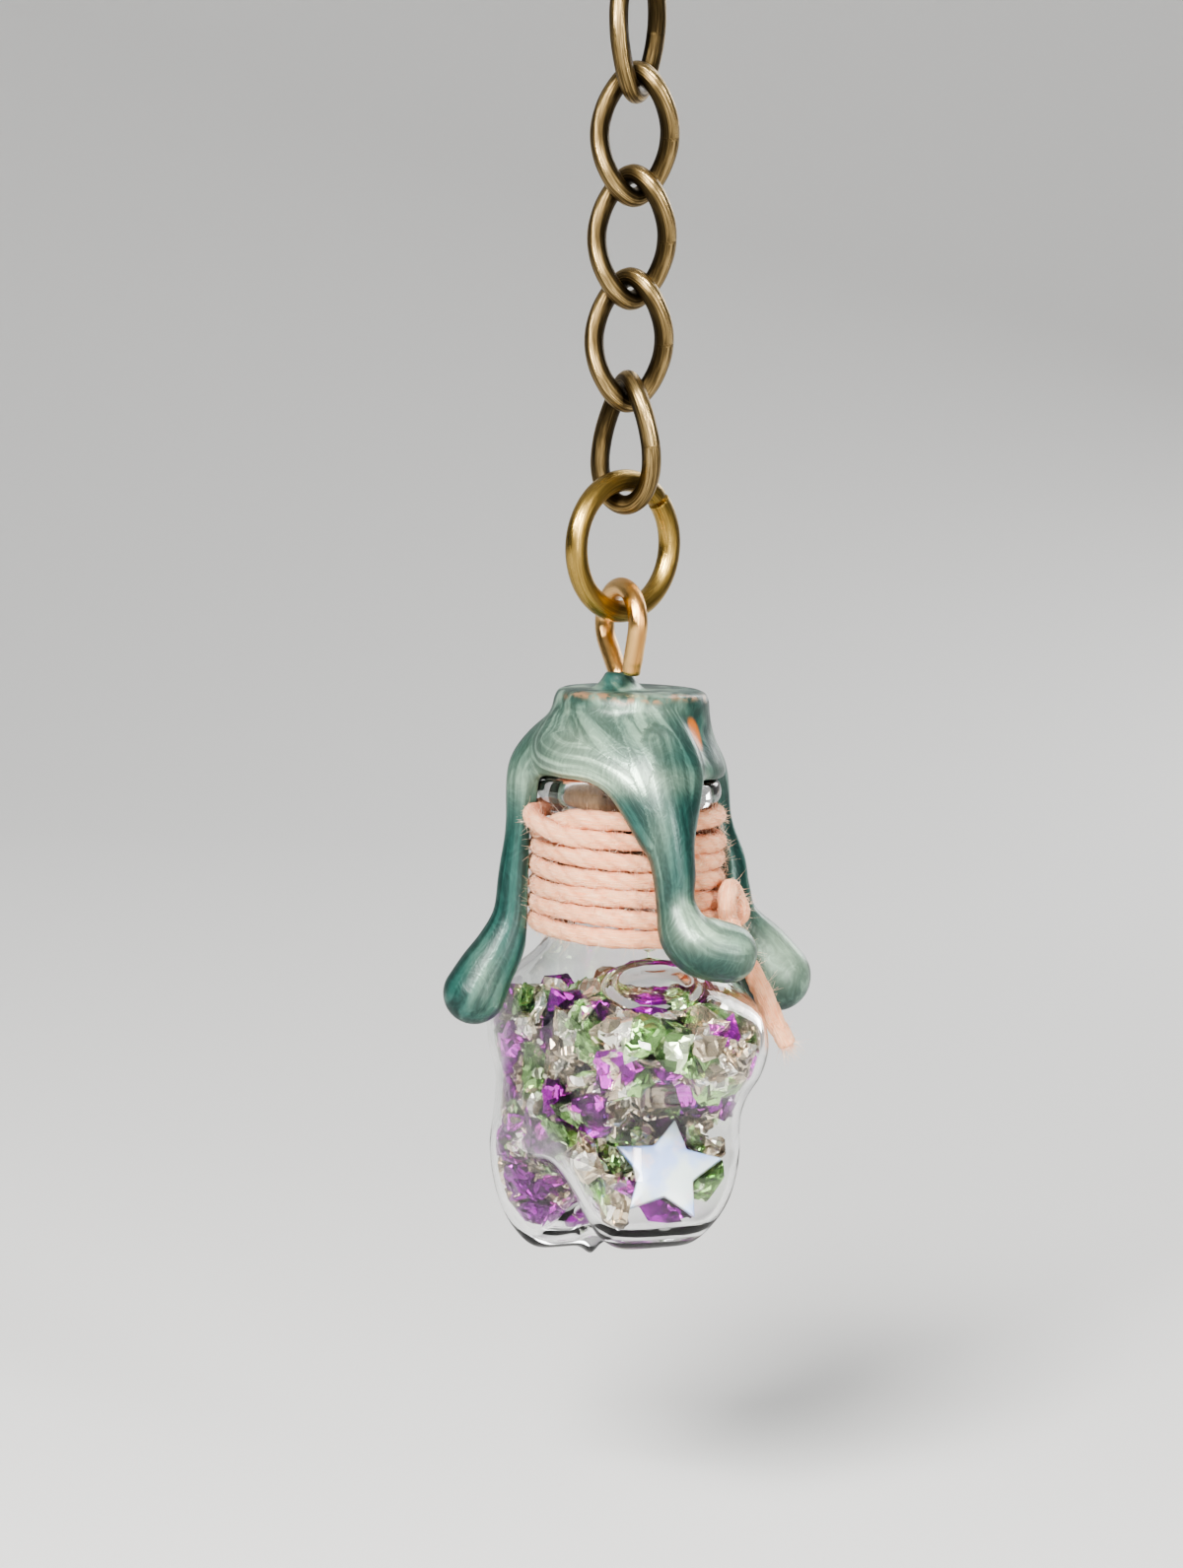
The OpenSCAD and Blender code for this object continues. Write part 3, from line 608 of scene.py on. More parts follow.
def cord_path():
    """The cord's line: a helix round the neck, z = top - level * pitch, with small waves. Its first turn rises to
    the lip at the front, and the second comes in high on the left and crosses over it. Then it goes over its own
    last turns into the knot, and down to the free end."""
    start, stop = -132, 38 + 360 * (CORD_TURNS - 1)
    turn = np.radians(np.linspace(start, stop, 100 * CORD_TURNS))
    seen = np.degrees(turn) - DRIP_TURN  # 0 faces the camera
    later = np.where(seen < 330, smooth_step(seen, 275, 330), (seen + 35) / 360)
    level = np.where(seen < 180, 1 - smooth_step(seen, -85, -30), later)
    crossing = 0.75 * np.exp(-(((seen - 297) / 24) ** 2))
    r = NECK_R + CORD_D / 2 + 0.07 + 0.06 * np.sin(3.3 * turn) * np.sin(0.7 * turn) + crossing
    pitch = 0.985 * CORD_D
    z = CORD_TOP - CORD_D / 2 - level * pitch + 0.07 * np.sin(2.3 * turn + 1.3) * smooth_step(level, 0.5, 1.5)
    winding = turned(turn, [(r, z)])[0]
    last = winding[-1]
    end = curve_through([winding[-12], last, last + [-0.35, 0.9, 0.35], *KNOT_POINTS, *TAIL_POINTS], 160)
    return BOTTLE_AT + evenly(np.concatenate([winding[:-12], end]), CORD_STEP)


def twisted(a, s):
    """A twisted cord's section: r is scaled by 1 - groove + groove * |cos(plies / 2 * (a - 2 pi s / length))|, and
    by small waves that cross each other, for the loose lumps of the fibres."""
    twist = 1 - GROOVE + GROOVE * np.abs(np.cos(PLIES / 2 * (a - 2 * np.pi * s / TWIST_LENGTH)))
    return twist + 0.03 * np.sin(5 * a + 4.3 * s) * np.sin(3 * a - 7.1 * s + 1) + 0.02 * np.sin(7 * a - 9 * s)


def make_cord(path):
    """The whole cord as one tube. Its attribute of painted light and shade is high on the plies' crowns, and low
    between the plies, between the turns and where the winding lies against the neck."""
    out = level_out(path)
    out[-STRAIGHT_FROM:] = out[-STRAIGHT_FROM]
    s = np.linspace(0, 1, len(path))
    radius = CORD_D / 2 * (1.03 + 0.05 * np.sin(90 * s) + 0.05 * np.sin(217 * s + 1))
    rings, lay = tube(path, out, radius, 18, shape=twisted)
    # Painted shade: darker in the grooves between the plies, and, away from the knot and the free end, between the
    # turns and against the neck.
    lit_crown = smooth_step(np.linalg.norm(rings - path[:, None], axis=-1) / radius[:, None], 0.88, 1.0)
    loose = smooth_step(np.arange(len(path)) - len(path), -LEAVES_FROM, -LEAVES_TO)[:, None]
    lit_crown = (0.5 + 0.5 * lit_crown) * (loose + (1 - loose) * smooth_step(lay[..., 0], -0.1, 0.8))
    return add_rings("cotton_cord", rounded_ends(rings, 0.4, 3), "bottle", "cotton_cord", COTTON,
                     attributes={"lit_crown": padded(lit_crown, 3), "lay": padded(lay, 3)},
                     replaces=("cord_winding", "cord_knot", "cord_tail"))


def make_fuzz(path):
    """Fine hairs that stand out of the cotton: each is a thin three-sided spike from the cord's surface, bent as
    t * t * sag. More of them stand at the frayed end."""
    count, frayed, steps, sides = 10000, 200, 3, 3
    i = np.concatenate([random.integers(10, len(path) - 2, count), np.full(frayed, len(path) - 1)])
    t = unit(path[np.minimum(i + 1, len(path) - 1)] - path[i - 1])
    across = unit(random.normal(size=(len(i), 3)))
    across = unit(across - t * np.sum(across * t, -1, keepdims=True))
    across[:count] = unit(across[:count] + 0.9 * level_out(path[i[:count]]))
    way = unit(across + 0.45 * random.normal(size=across.shape))
    way[count:] = unit(t[count:] + 0.35 * random.normal(size=(frayed, 3)))
    root = path[i] + across * CORD_D * HAIR_ROOT
    root[count:] = path[-1] + across[count:] * CORD_D * HAIR_ROOT * random.random((frayed, 1)) ** 0.5
    length = np.concatenate([0.16 + 0.5 * random.random(count) ** 3, 0.3 + 0.5 * random.random(frayed)])
    sag = 0.5 * random.normal(size=(len(i), 3)) * length[:, None]
    share = np.linspace(0, 1, steps)[None, :, None]
    line = root[:, None] + share * way[:, None] * length[:, None, None] + share**2 * sag[:, None]
    side = unit(np.cross(way, across))
    a = np.radians([0, 120, 240])
    spread = np.cos(a)[:, None] * across[:, None] + np.sin(a)[:, None] * side[:, None]
    width = (HAIR_WIDTH * (1 - 0.7 * share))[..., None]
    verts = (line[:, :, None] + width * spread[:, None]).reshape(-1, 3)
    ends = np.array([[2, 1, 0], [6, 7, 8]])
    groups = [repeated(faces, len(i), steps * sides) for faces in (grid_faces(steps, sides), ends)]
    return add_piece("cotton_fuzz", verts, groups, "bottle", "cotton_cord", HAIR)


make_camera()
CORD_PATH = cord_path()
cord = make_cord(CORD_PATH)
fuzz = make_fuzz(CORD_PATH)

# ---------------- chain, ring and eye


def make_link(place):
    """A twisted curb link, with its wire pressed a little flat on two faces. Its line at angle f is
    (rx * cos(f) * cos(t), rx * cos(f) * sin(t), rz * sin(f)) with t = turn - twist * sin(f)."""
    turn, twist = LINK_TURNS[place]
    f = round_angles(120)
    t = np.radians(turn - twist * np.sin(f))
    out = turned(t, [(LINK_RX * np.cos(f), LINK_RZ * np.sin(f))])[0]
    line = out + [0, 0, LINK_WIRE / 2 - LINK_RZ - place * LINK_PITCH]
    rings, lay = tube(line, out, LINK_WIRE / 2, 18, closed=True,
                      shape=lambda a, s: 1 - 0.07 * np.sin(a) ** 4 + 0.008 * np.sin(3 * s + 5 * a))
    facing = np.sum(unit(rings - line[:, None]) * unit(out)[:, None], -1)
    wear = 0.12 + 0.88 * smooth_step(facing, -0.4, 0.8)
    add_rings(f"link_{place + 1}", rings, "chain", "antique_brass", LINK_BRASS, closed=True,
              attributes={"wear": wear, "lay": lay}, replaces=(f"chain_link_{place + 1}",))


def make_jump_ring():
    """A round ring with a cut: an arc of the ring's radius, from just after the cut to just before it. The cut's
    faces are pinched a little smaller, as cutters leave them, and bright."""
    cut_at, half = 45, np.degrees(np.arcsin(RING_CUT / 2 / RING_R))
    f = np.radians(np.linspace(cut_at + half, cut_at + 360 - half, 150))
    radial = np.cos(f)[:, None] * bearing(RING_TURN) + np.sin(f)[:, None] * UP
    line = [0, 0, RING_Z] + RING_R * radial
    rings, lay = tube(line, radial, RING_WIRE / 2, 22)
    facing = np.abs(np.sum(unit(rings - line[:, None]) * radial[:, None], -1))
    wear = 0.25 + 0.75 * smooth_step(facing, 0.2, 0.9)
    rings = np.concatenate([pinched(rings, 0), rings[1:-1], pinched(rings, -1)])
    wear = np.concatenate([np.ones_like(wear[:1]), wear, np.ones_like(wear[:1])])
    add_rings("ring_wire", rings, "chain", "brass_wire", RING_BRASS, attributes={"wear": wear, "lay": padded(lay, 1)},
              replaces=("jump_ring",))


def pinched(rings, end):
    """An end's ring twice: at its full size, and at nine tenths of it where the wire stops."""
    ring, middle = rings[end], rings[end].mean(0)
    inward = rings[1 if end == 0 else -2].mean(0) - middle
    full, small = ring + 0.3 * inward, middle + 0.9 * (ring - middle)
    return np.stack([small, full] if end == 0 else [full, small])


def arc(middle, r, low, high, count):
    """Points of a flat circle, at even angles."""
    f = np.linspace(low, high, count)
    return middle + r * np.stack([np.cos(f), np.sin(f)], 1)


def eye_path():
    """The eye's line in its plane, from the cut end up, round the loop, down the leaning side, through the bend
    and down the shank."""
    lean, end_lean = np.radians(EYE_LEAN), np.radians(END_LEAN)
    loop = arc([0, EYE_TOP - EYE_WIRE / 2 - EYE_R], EYE_R, -end_lean, np.pi + lean, 60)
    run = (-loop[-1, 0] - EYE_BEND_R * (1 - np.cos(lean))) / np.sin(lean)
    bend_z = loop[-1, 1] - run * np.cos(lean) - EYE_BEND_R * np.sin(lean)
    bend = arc([-EYE_BEND_R, bend_z], EYE_BEND_R, lean, 0, 14)
    end_run = (loop[0, 1] - EYE_FOOT - 0.1) / np.cos(end_lean)
    foot = loop[0] - end_run * np.array([np.sin(end_lean), np.cos(end_lean)])
    flat = np.concatenate([[foot], loop, bend, [[0, SHANK_END]]])
    return evenly(np.stack([flat[:, 0], np.zeros(len(flat)), flat[:, 1]], 1), EYE_SPACING)


def make_eye():
    """The screw eye's wire, with flat cut ends, and a low filed step round it just above its cut end."""
    path = eye_path()
    s = np.arange(len(path)) * EYE_SPACING
    radius = EYE_WIRE / 2 * (1 - 0.05 * smooth_step(s, 0.75, 0.5) * smooth_step(s, -1, 0.1))
    radius = np.where(s < 0.1, radius * 0.94, radius)
    rings, lay = tube(path, [0, 1, 0], radius, 22)
    wear = 0.35 + 0.65 * smooth_step(np.abs(unit(rings - path[:, None])[..., 1]), 0.1, 0.9)
    add_rings("eye_wire", rings, "bottle", "gold_wire", EYE_GOLD, attributes={"wear": wear, "lay": lay},
              replaces=("screw_eye",))


for link in range(len(LINK_TURNS)):
    make_link(link)
make_jump_ring()
make_eye()

# ---------------- glass bottle

GLASS_SIDES, BODY_COUNT, NECK_COUNT, LIP_COUNT = 176, 130, 14, 26
# The glass's marks: pixel across and down in the photograph, half width and half height
OVAL_MARK, PIP_MARK = (664, 1001, 40, 19), (598, 1262, 8, 9)


def round_rows(pairs):
    """Rows in the star table's columns for round rings of given radii and heights."""
    return np.array([[r, z, r, z, 0, 0] for r, z in pairs])


def glass_surface(rows, a):
    """The glass at each row and bearing: x = side * c(a), y = front * s(a) + back, and z goes from the side's
    height to the front's as the fourth power of the sine, where c and s are the cosine and sine with their size
    raised to 1 - square * (1 - power). Then one leg is moved up and the other down by the skew."""
    e = 1 - rows[:, SQUARE, None] * (1 - SQUARE_POWER)
    c, s = np.cos(a)[None], np.sin(a)[None]
    x = rows[:, SIDE, None] * np.sign(c) * np.abs(c) ** e
    y = rows[:, FRONT, None] * np.sign(s) * np.abs(s) ** e + rows[:, BACK, None]
    z = rows[:, SIDE_DROP, None] + s**4 * (rows[:, FRONT_DROP, None] - rows[:, SIDE_DROP, None])
    drop = np.maximum(0, (SHOULDER - z) / BODY_H)
    return np.stack([x, y, z + LEG_SKEW * x / HALF_W * drop**2], -1)


def surface_normals(p):
    """Unit normals of a grid of points whose columns close on themselves, away from the Z axis."""
    return unit(np.cross(np.roll(p, -1, 1) - np.roll(p, 1, 1), np.gradient(p, axis=0)))


def glass_marks(outer, normals):
    """How far the glass is raised by its two marks: a flat oval ring where the shoulder of the near side was
    drawn in, and a small pip under the far leg. Each is placed by where it shows in the photograph."""
    x, y = on_photo(BOTTLE_AT + outer)
    facing = np.sum(normals * camera_matrix()[:3, 2], -1)
    across, down, wide, high = OVAL_MARK
    q = np.hypot((x - across) / wide, (y - down) / high)
    ring = 0.26 * np.exp(-(((q - 1) / 0.2) ** 2)) - 0.2 * np.exp(-((q / 0.6) ** 2))
    across, down, wide, high = PIP_MARK
    pip = 0.5 * np.exp(-(((x - across) / wide) ** 2) - ((y - down) / high) ** 2)
    return np.where(facing > 0.25, ring, 0) + np.where(facing > -0.3, pip, 0)


def make_bottle():
    """The bottle as one closed surface: up the outside, over the lip, down the bore, and down the inner wall,
    which is the outside moved in along its normals by the wall, and by more under the feet."""
    a = round_angles(GLASS_SIDES)
    a = a - 0.12 * np.sin(4 * a)  # more points where a squarish section bends
    crotch = round_rows([(0.02, SHOULDER - CROTCH_DROP * BODY_H)])
    body = STAR_ROWS[::-1] * [HALF_W, -BODY_H, HALF_T, -BODY_H, 1, HALF_T] + [0, SHOULDER, 0, SHOULDER, 0, 0]
    neck = round_rows([(NECK_R, SHOULDER), (NECK_R, LIP_TOP - LIP_H - 0.03 * (9.2 - LIP_H))])
    lip = round_rows((NECK_R + out * (LIP_D / 2 - NECK_R), LIP_TOP - down * LIP_H) for out, down in LIP_ROWS[::-1])
    outer_body = glass_surface(curve_through(np.concatenate([crotch, body, neck[:1]]), BODY_COUNT), a)
    normals = surface_normals(outer_body)
    foot = 1 - smooth_step(outer_body[..., 2:], SHOULDER - 0.97 * BODY_H, SHOULDER - 0.84 * BODY_H)
    wall = GLASS_WALL * (0.7 + 1.2 * foot * np.clip(-normals[..., 2:], 0, 1) ** 2)
    inner = (outer_body - wall * normals)[::-1]
    inner = inner[inner[..., 2].mean(1) < SHOULDER - 0.75]
    outer_body = outer_body + glass_marks(outer_body, normals)[..., None] * normals
    outer_neck = glass_surface(curve_through(neck, NECK_COUNT)[1:], a)
    outer_lip = glass_surface(curve_through(lip, LIP_COUNT), a)
    edge = [(NECK_R + 0.1, LIP_TOP), (BORE_R + 0.12, LIP_TOP - 0.03), (BORE_R, LIP_TOP - 0.2)]
    bore = turned(a, edge + [(BORE_R, z) for z in np.linspace(LIP_TOP - 1.0, SHOULDER + 0.25, 10)])
    rings = BOTTLE_AT + np.concatenate([outer_body, outer_neck, outer_lip, bore, inner])
    add_rings("bottle_glass", rings, "bottle", "clear_glass", GLASS, replaces=("glass_bottle",))
    return BOTTLE_AT + np.concatenate([bore[len(edge):], inner])


INNER_WALL = make_bottle()

# ---------------- what is in the bottle

CHIP_ROWS, CHIP_SIDES, CHIP_GAP = 4, 7, 0.12


def wall_tree():
    """A search tree of the inner wall, open at its top, with its faces' normals pointing into the glass."""
    verts, (faces, fans) = shut(INNER_WALL)
    return BVHTree.FromPolygons(verts.tolist(), faces.tolist() + fans[INNER_WALL.shape[1]:].tolist())


def depth_inside(tree, points):
    """How far each point lies inside the wall, and the way into the glass at the nearest place of the wall."""
    found = [tree.find_nearest(p)[:2] for p in points]
    nearest, ways = np.array([f[0] for f in found]), np.array([f[1] for f in found])
    return np.sum((nearest - points) * ways, 1), ways


def fill_height(p):
    """The top of the chips: higher at the middle and the near side, with low waves."""
    x, y = p[:, 0] - BOTTLE_AT[0], p[:, 1] - BOTTLE_AT[1]
    return SHOULDER - 3.1 - 0.02 * (x - 1.5) ** 2 + 0.35 * np.sin(1.3 * x + 0.4) + 0.25 * np.sin(2.1 * y)


def chip_places(tree, spacing, least, most, tries):
    """Places inside the bottle at least a spacing apart: the first of many random ones that are clear of those
    before them, between two depths inside the wall, under the fill's top and clear of the star."""
    low, high = INNER_WALL.reshape(-1, 3).min(0), INNER_WALL.reshape(-1, 3).max(0)
    high[2] = SHOULDER - 1.0
    p = low + (high - low) * random.random((tries, 3))
    p = p[p[:, 2] < fill_height(p)]
    off = (p - CHARM_AT) @ CHARM_NORMAL
    beside = np.linalg.norm(p - CHARM_AT - np.outer(off, CHARM_NORMAL), axis=1)
    p = p[(off < -0.75) | (beside > STAR_TIP * 1.4)]
    depth = depth_inside(tree, p)[0]
    kept = np.empty((0, 3))
    for place in p[(depth > least) & (depth < most)]:
        if not len(kept) or np.min(np.sum((kept - place) ** 2, 1)) > spacing**2:
            kept = np.concatenate([kept, place[None]])
    return kept


def turned_at_random(points):
    """Each shape's points turned by the rotation of a random unit quaternion."""
    w, x, y, z = unit(random.normal(size=(len(points), 4))).T
    turn = np.stack([
        1 - 2 * (y * y + z * z), 2 * (x * y - z * w), 2 * (x * z + y * w),
        2 * (x * y + z * w), 1 - 2 * (x * x + z * z), 2 * (y * z - x * w),
        2 * (x * z - y * w), 2 * (y * z + x * w), 1 - 2 * (x * x + y * y),
    ], -1).reshape(-1, 3, 3)
    return np.einsum("nij,nkj->nki", turn, points)


def crumpled_chips(places, size, tree):
    """Every chip at once. A chip is a flattened ball of a few rings, with each point's distance from its middle
    drawn at random. It is bent like a leaf, turned at random, and pushed back inside the wall, behind the star's
    face and under the fill's top where it would stick out."""
    n = len(places)
    f = np.radians(np.linspace(35, 145, CHIP_ROWS))[:, None]
    a = round_angles(CHIP_SIDES)[None]
    ball = np.stack(np.broadcast_arrays(np.sin(f) * np.cos(a), np.sin(f) * np.sin(a), np.cos(f)), -1).reshape(-1, 3)
    ball = np.concatenate([ball, [[0, 0, 1], [0, 0, -1]]])
    size = size[:, None, None]
    one = np.ones((n, 1))
    squash = np.stack([1.15 * one, 0.7 + 0.25 * random.random((n, 1)), 0.25 + 0.3 * random.random((n, 1))], -1)
    points = ball[None] * squash * size * (0.6 + 0.65 * random.random((n, len(ball), 1)))
    points[..., 2] += 0.35 * size[..., 0] * ((points[..., 0] / size[..., 0]) ** 2 - 0.4)
    points = points + 0.13 * random.normal(size=points.shape) * size
    flat = (turned_at_random(points) + places[:, None]).reshape(-1, 3)
    depth, ways = depth_inside(tree, flat)
    flat = flat - np.maximum(0, 0.05 - depth)[:, None] * ways
    off = (flat - CHARM_AT) @ CHARM_NORMAL
    close = (off > -CHIP_GAP) & (np.linalg.norm(flat - CHARM_AT, axis=1) < 1.25 * STAR_TIP)
    flat = flat + np.where(close, -CHIP_GAP - off, 0)[:, None] * CHARM_NORMAL
    flat[:, 2] = np.minimum(flat[:, 2], fill_height(flat) + 0.5)
    return flat.reshape(n, -1, 3)


def make_chips(tree):
    """The chips in three colours, which lie in loose clusters: large ones against the wall, smaller ones behind
    them, and bits in the gaps."""
    wall = chip_places(tree, 1.5, 0.2, 0.65, 18000)
    deep = chip_places(tree, 1.0, 0.9, 9, 14000)
    bits = chip_places(tree, 0.5, 0.1, 0.45, 6000)
    bits = bits[random.random(len(bits)) < 0.45]
    places = np.concatenate([wall, deep, bits])
    size = np.concatenate([least + more * random.random(len(some)) for some, least, more in
                           ((wall, 1.0, 0.6), (deep, 1.0, 0.3), (bits, 0.16, 0.16))])
    points = crumpled_chips(places, size, tree)
    cluster = np.sin(1.1 * places @ [0.9, 0.5, 0.7] + 1) + np.sin(1.1 * places @ [-0.6, 0.8, 0.9] + 3)
    cluster = cluster + 1.2 * random.normal(size=len(places))
    order = np.argsort(np.argsort(cluster)) / len(places)
    small = np.arange(len(places)) >= len(wall) + len(deep)
    order = np.where(small & (random.random(len(places)) < 0.75), 0.5, order)
    quads = grid_faces(CHIP_ROWS, CHIP_SIDES)
    faces = np.concatenate([quads[:, :3], quads[:, [0, 2, 3]], end_fans(CHIP_ROWS, CHIP_SIDES)])
    for name, low, high in (("purple", 0, 0.33), ("silver", 0.33, 0.7), ("green", 0.7, 1.01)):
        mine = points[(order >= low) & (order < high)]
        count, each = mine.shape[:2]
        shade = np.repeat(random.random(count), each) * 0.6 + 0.4 * random.random(count * each)
        add_piece(f"foil_{name}", mine.reshape(-1, 3), [repeated(faces, count, each)], "bottle", f"{name}_foil",
                  FOILS[name], smooth=False, attributes={"shade": shade}, replaces=(f"chips_{name}",))


def make_star():
    """The star charm. Its outline has straight sides between the tips' radius and half of it, and each point is
    averaged with its neighbours so that the corners are a little round. Its rows are shares of the outline's
    size, at heights over its middle as shares of its thickness, which round its edge."""
    corner = np.radians(90 + 36 * np.arange(10) - CHARM_ROLL)
    r = np.where(np.arange(10) % 2 == 0, STAR_TIP, STAR_TIP / 2)
    p = np.stack([r * np.cos(corner), r * np.sin(corner)], 1)
    u = np.linspace(0, 10, 200, endpoint=False)
    i, t = u.astype(int), (u % 1)[:, None]
    line = p[i] * (1 - t) + p[(i + 1) % 10] * t
    line = (np.roll(line, 1, 0) + 2 * line + np.roll(line, -1, 0)) / 4
    flat = line[:, :1] * CHARM_ACROSS + line[:, 1:] * CHARM_UP
    rows = [(0.02, 0.5), (0.5, 0.5), (0.93, 0.5), (0.955, 0.49), (0.985, 0.42), (1.0, 0.3), (1.0, -0.3),
            (0.985, -0.42), (0.955, -0.49), (0.93, -0.5), (0.02, -0.5)]
    rings = [CHARM_AT + share * flat + (h + 0.5) * STAR_T * CHARM_NORMAL for share, h in rows]
    add_rings("star_plate", np.array(rings), "bottle", "pale_plastic", OPAL, replaces=("star_charm",))


def make_cork():
    """The cork: r goes from the foot's radius to the top's, with shallow dents where r is scaled by low waves."""
    h = np.concatenate([[0.0, 0.08], np.linspace(0.25, CORK_H - 0.25, 24), [CORK_H - 0.08, CORK_H]])
    r = CORK_FOOT_D / 2 + (CORK_D - CORK_FOOT_D) / 2 * h / CORK_H
    r[[0, -1]] -= 0.18
    r[[1, -2]] -= 0.06
    a = round_angles(64)
    wave = 1 - 0.006 * (1 + np.sin(7 * a[None] + 2 * h[:, None]) * np.sin(3 * h[:, None] - 4 * a[None]))
    rings = BOTTLE_AT + turned(a, zip(r[:, None] * wave, CORK_TOP - CORK_H + h))
    add_rings("stopper", rings, "bottle", "cork", CORK, replaces=("cork",))


make_chips(wall_tree())
make_star()
make_cork()

# ---------------- wax

# The wax's pale places, partly paler wax and partly painted highlights: pixel across and down in the photograph,
# width, height and strength
PALE_WAX_AND_HIGHLIGHTS = [(585, 762, 38, 34, 0.75), (618, 792, 75, 14, 0.7), (655, 745, 28, 36, 0.3), (668, 850, 12, 45, 0.2),
            (712, 945, 32, 20, 0.75), (695, 925, 14, 14, 0.4), (492, 990, 16, 34, 0.15), (795, 968, 36, 34, 0.9),
            (640, 720, 60, 9, 0.25), (530, 790, 22, 30, 0.25)]
VOXEL, SMOOTH_ROUNDS, CREASE_ROUNDS = 0.14, 4, 90
PATCH_TURN, PATCH_R, PATCH_Z = 21, 4.5, -41.8
# Heights between which the creases are filled: from none to all, and from all to none
CREASES_START, CREASES_FULL, CREASES_FADE, CREASES_END = -50, -46.5, -41.4, -40.4


def drip_line(rows):
    """A drip's line and radius from its table: distance * (cos, sin) of the angle, and the drop below the lip."""
    t = np.array(rows, float)
    a = np.radians(t[:, 0] + DRIP_TURN)
    line = np.stack([t[:, 1] * np.cos(a), t[:, 1] * np.sin(a), LIP_TOP - t[:, 2], t[:, 3]], 1)
    fine = curve_through(line, 12 * len(rows))
    return BOTTLE_AT + fine[:, :3], fine[:, 3]


def wax_cap():
    """The wax over the cork and the lip: a profile of radius and height, turned round the bottle's middle. It
    flares softly to its foot, and more so beside the drips, and goes back up inside itself."""
    a = round_angles(120)
    top, inside = CORK_TOP + 0.4, CORK_TOP - 0.6
    foot = LIP_TOP - 0.12 + 0.1 * np.sin(5 * a + 1)
    beside = sum(np.exp(-((np.angle(np.exp(1j * (a - np.radians(at + DRIP_TURN)))) / wide) ** 2))
                 for at, wide in ((-86, 0.4), (14, 0.6), (118, 0.3), (-160, 0.3)))
    rows = [(r + flare * beside, top - drop) for r, drop, flare in (
        (0.3, 0, 0), (3.3, -0.02, 0), (3.85, 0.02, 0), (4.2, 0.18, 0), (4.38, 0.6, 0), (4.45, 1.3, 0.05),
        (4.55, 2.1, 0.14), (4.78, 2.8, 0.24), (5.12, 3.5, 0.3), (5.4, 4.1, 0.3))]
    rows += [(r, (top - 4.45) * (1 - share) + foot * share) for r, share in (
        (5.58, 0.35), (5.66, 0.7), (5.6, 1.0), (5.35, 0.95), (5.3, 0.5))]
    rows += [(4.9, LIP_TOP + 0.1), (4.2, LIP_TOP + 0.2), (4.15, CORK_TOP - 1.0), (3.7, inside), (0.3, inside)]
    return BOTTLE_AT + turned(a, rows)


def wax_collar():
    """A small cone of wax round the eye's foot, r falling from the disc to the wire."""
    rows = [(1.75, 0.1), (1.5, 0.42), (1.12, 0.75), (0.88, 1.1), (0.78, 1.35), (0.4, 1.4)]
    a = round_angles(40)
    return turned(a, [(r, CORK_TOP + h) for r, h in rows]) - [0.08, 0, 0]


def joined_by_voxels(parts):
    """One skin round several closed ring surfaces, by Voxel Remesh and a few rounds of smoothing: its points, in
    millimetres as the parts are, and its four-sided faces."""
    verts, groups, start = [], [], 0
    for rings in parts:
        points, faces = shut(rings)
        verts.append(points)
        groups += [g + start for g in faces]
        start += len(points)
    draft = placed("wax_draft", new_mesh("wax_draft", np.concatenate(verts), groups))
    remesh = draft.modifiers.new("join", "REMESH")
    remesh.mode, remesh.voxel_size, remesh.adaptivity = "VOXEL", VOXEL, 0
    relax = draft.modifiers.new("relax", "SMOOTH")
    relax.factor, relax.iterations = 0.5, SMOOTH_ROUNDS
    made = bpy.data.meshes.new_from_object(draft.evaluated_get(bpy.context.evaluated_depsgraph_get()))
    bpy.data.objects.remove(draft)
    points = np.empty(len(made.vertices) * 3)
    made.vertices.foreach_get("co", points)
    corners = np.array([p.vertices[:] for p in made.polygons])
    bpy.data.meshes.remove(made)
    return points.reshape(-1, 3), corners


def relaxed(points, corners, share):
    """The skin's points moved towards the mean of their neighbours, a few rounds, each by its own share."""
    edges = np.concatenate([corners[:, [k, (k + 1) % 4]] for k in range(4)])
    count = np.maximum(np.bincount(edges[:, 0], minlength=len(points)), 1)[:, None]
    for _ in range(CREASE_ROUNDS):
        mean = np.stack([np.bincount(edges[:, 0], points[edges[:, 1], k], len(points)) for k in range(3)], 1) / count
        points = points + share[:, None] * (mean - points)
    return points


def clear_of_lip(points):
    """The skin's points, moved out level where they would touch the glass lip or the wound cord."""
    p = points - BOTTLE_AT
    z, r = p[:, 2], np.linalg.norm(p[:, :2], axis=1)
    lip_foot = LIP_TOP - LIP_H - 0.1
    lip, wound = (z < LIP_TOP + 0.02) & (z > lip_foot), (z <= lip_foot) & (z > SHOULDER - 0.6)
    least = np.where(lip, LIP_D / 2 + 0.06, np.where(wound, NECK_R + CORD_D + 0.16, 0))
    p[:, :2] *= (np.maximum(r, least) / np.maximum(r, 1e-6))[:, None]
    return BOTTLE_AT + p


def nearest_on_drips(points, lines):
    """For each point the nearest drip: its distance over the drip's radius, and (cos, sin, length) round it, with
    the lengths of different drips far apart so that their patterns differ."""
    best, lay = np.full(len(points), 1e9), np.zeros((len(points), 3))
    for number, (line, radius) in enumerate(lines):
        n, b = frame_along(line, level_out(line))
        gap = np.linalg.norm(points[:, None] - line[None], axis=-1)
        i = gap.argmin(1)
        share = gap[np.arange(len(points)), i] / radius[i]
        away = unit(points - line[i])
        length = lengths_along(line)[i] + 31 * number
        around = np.stack([np.sum(away * n[i], -1), np.sum(away * b[i], -1), length], -1)
        closer = share < best
        best[closer], lay[closer] = share[closer], around[closer]
    return best, lay


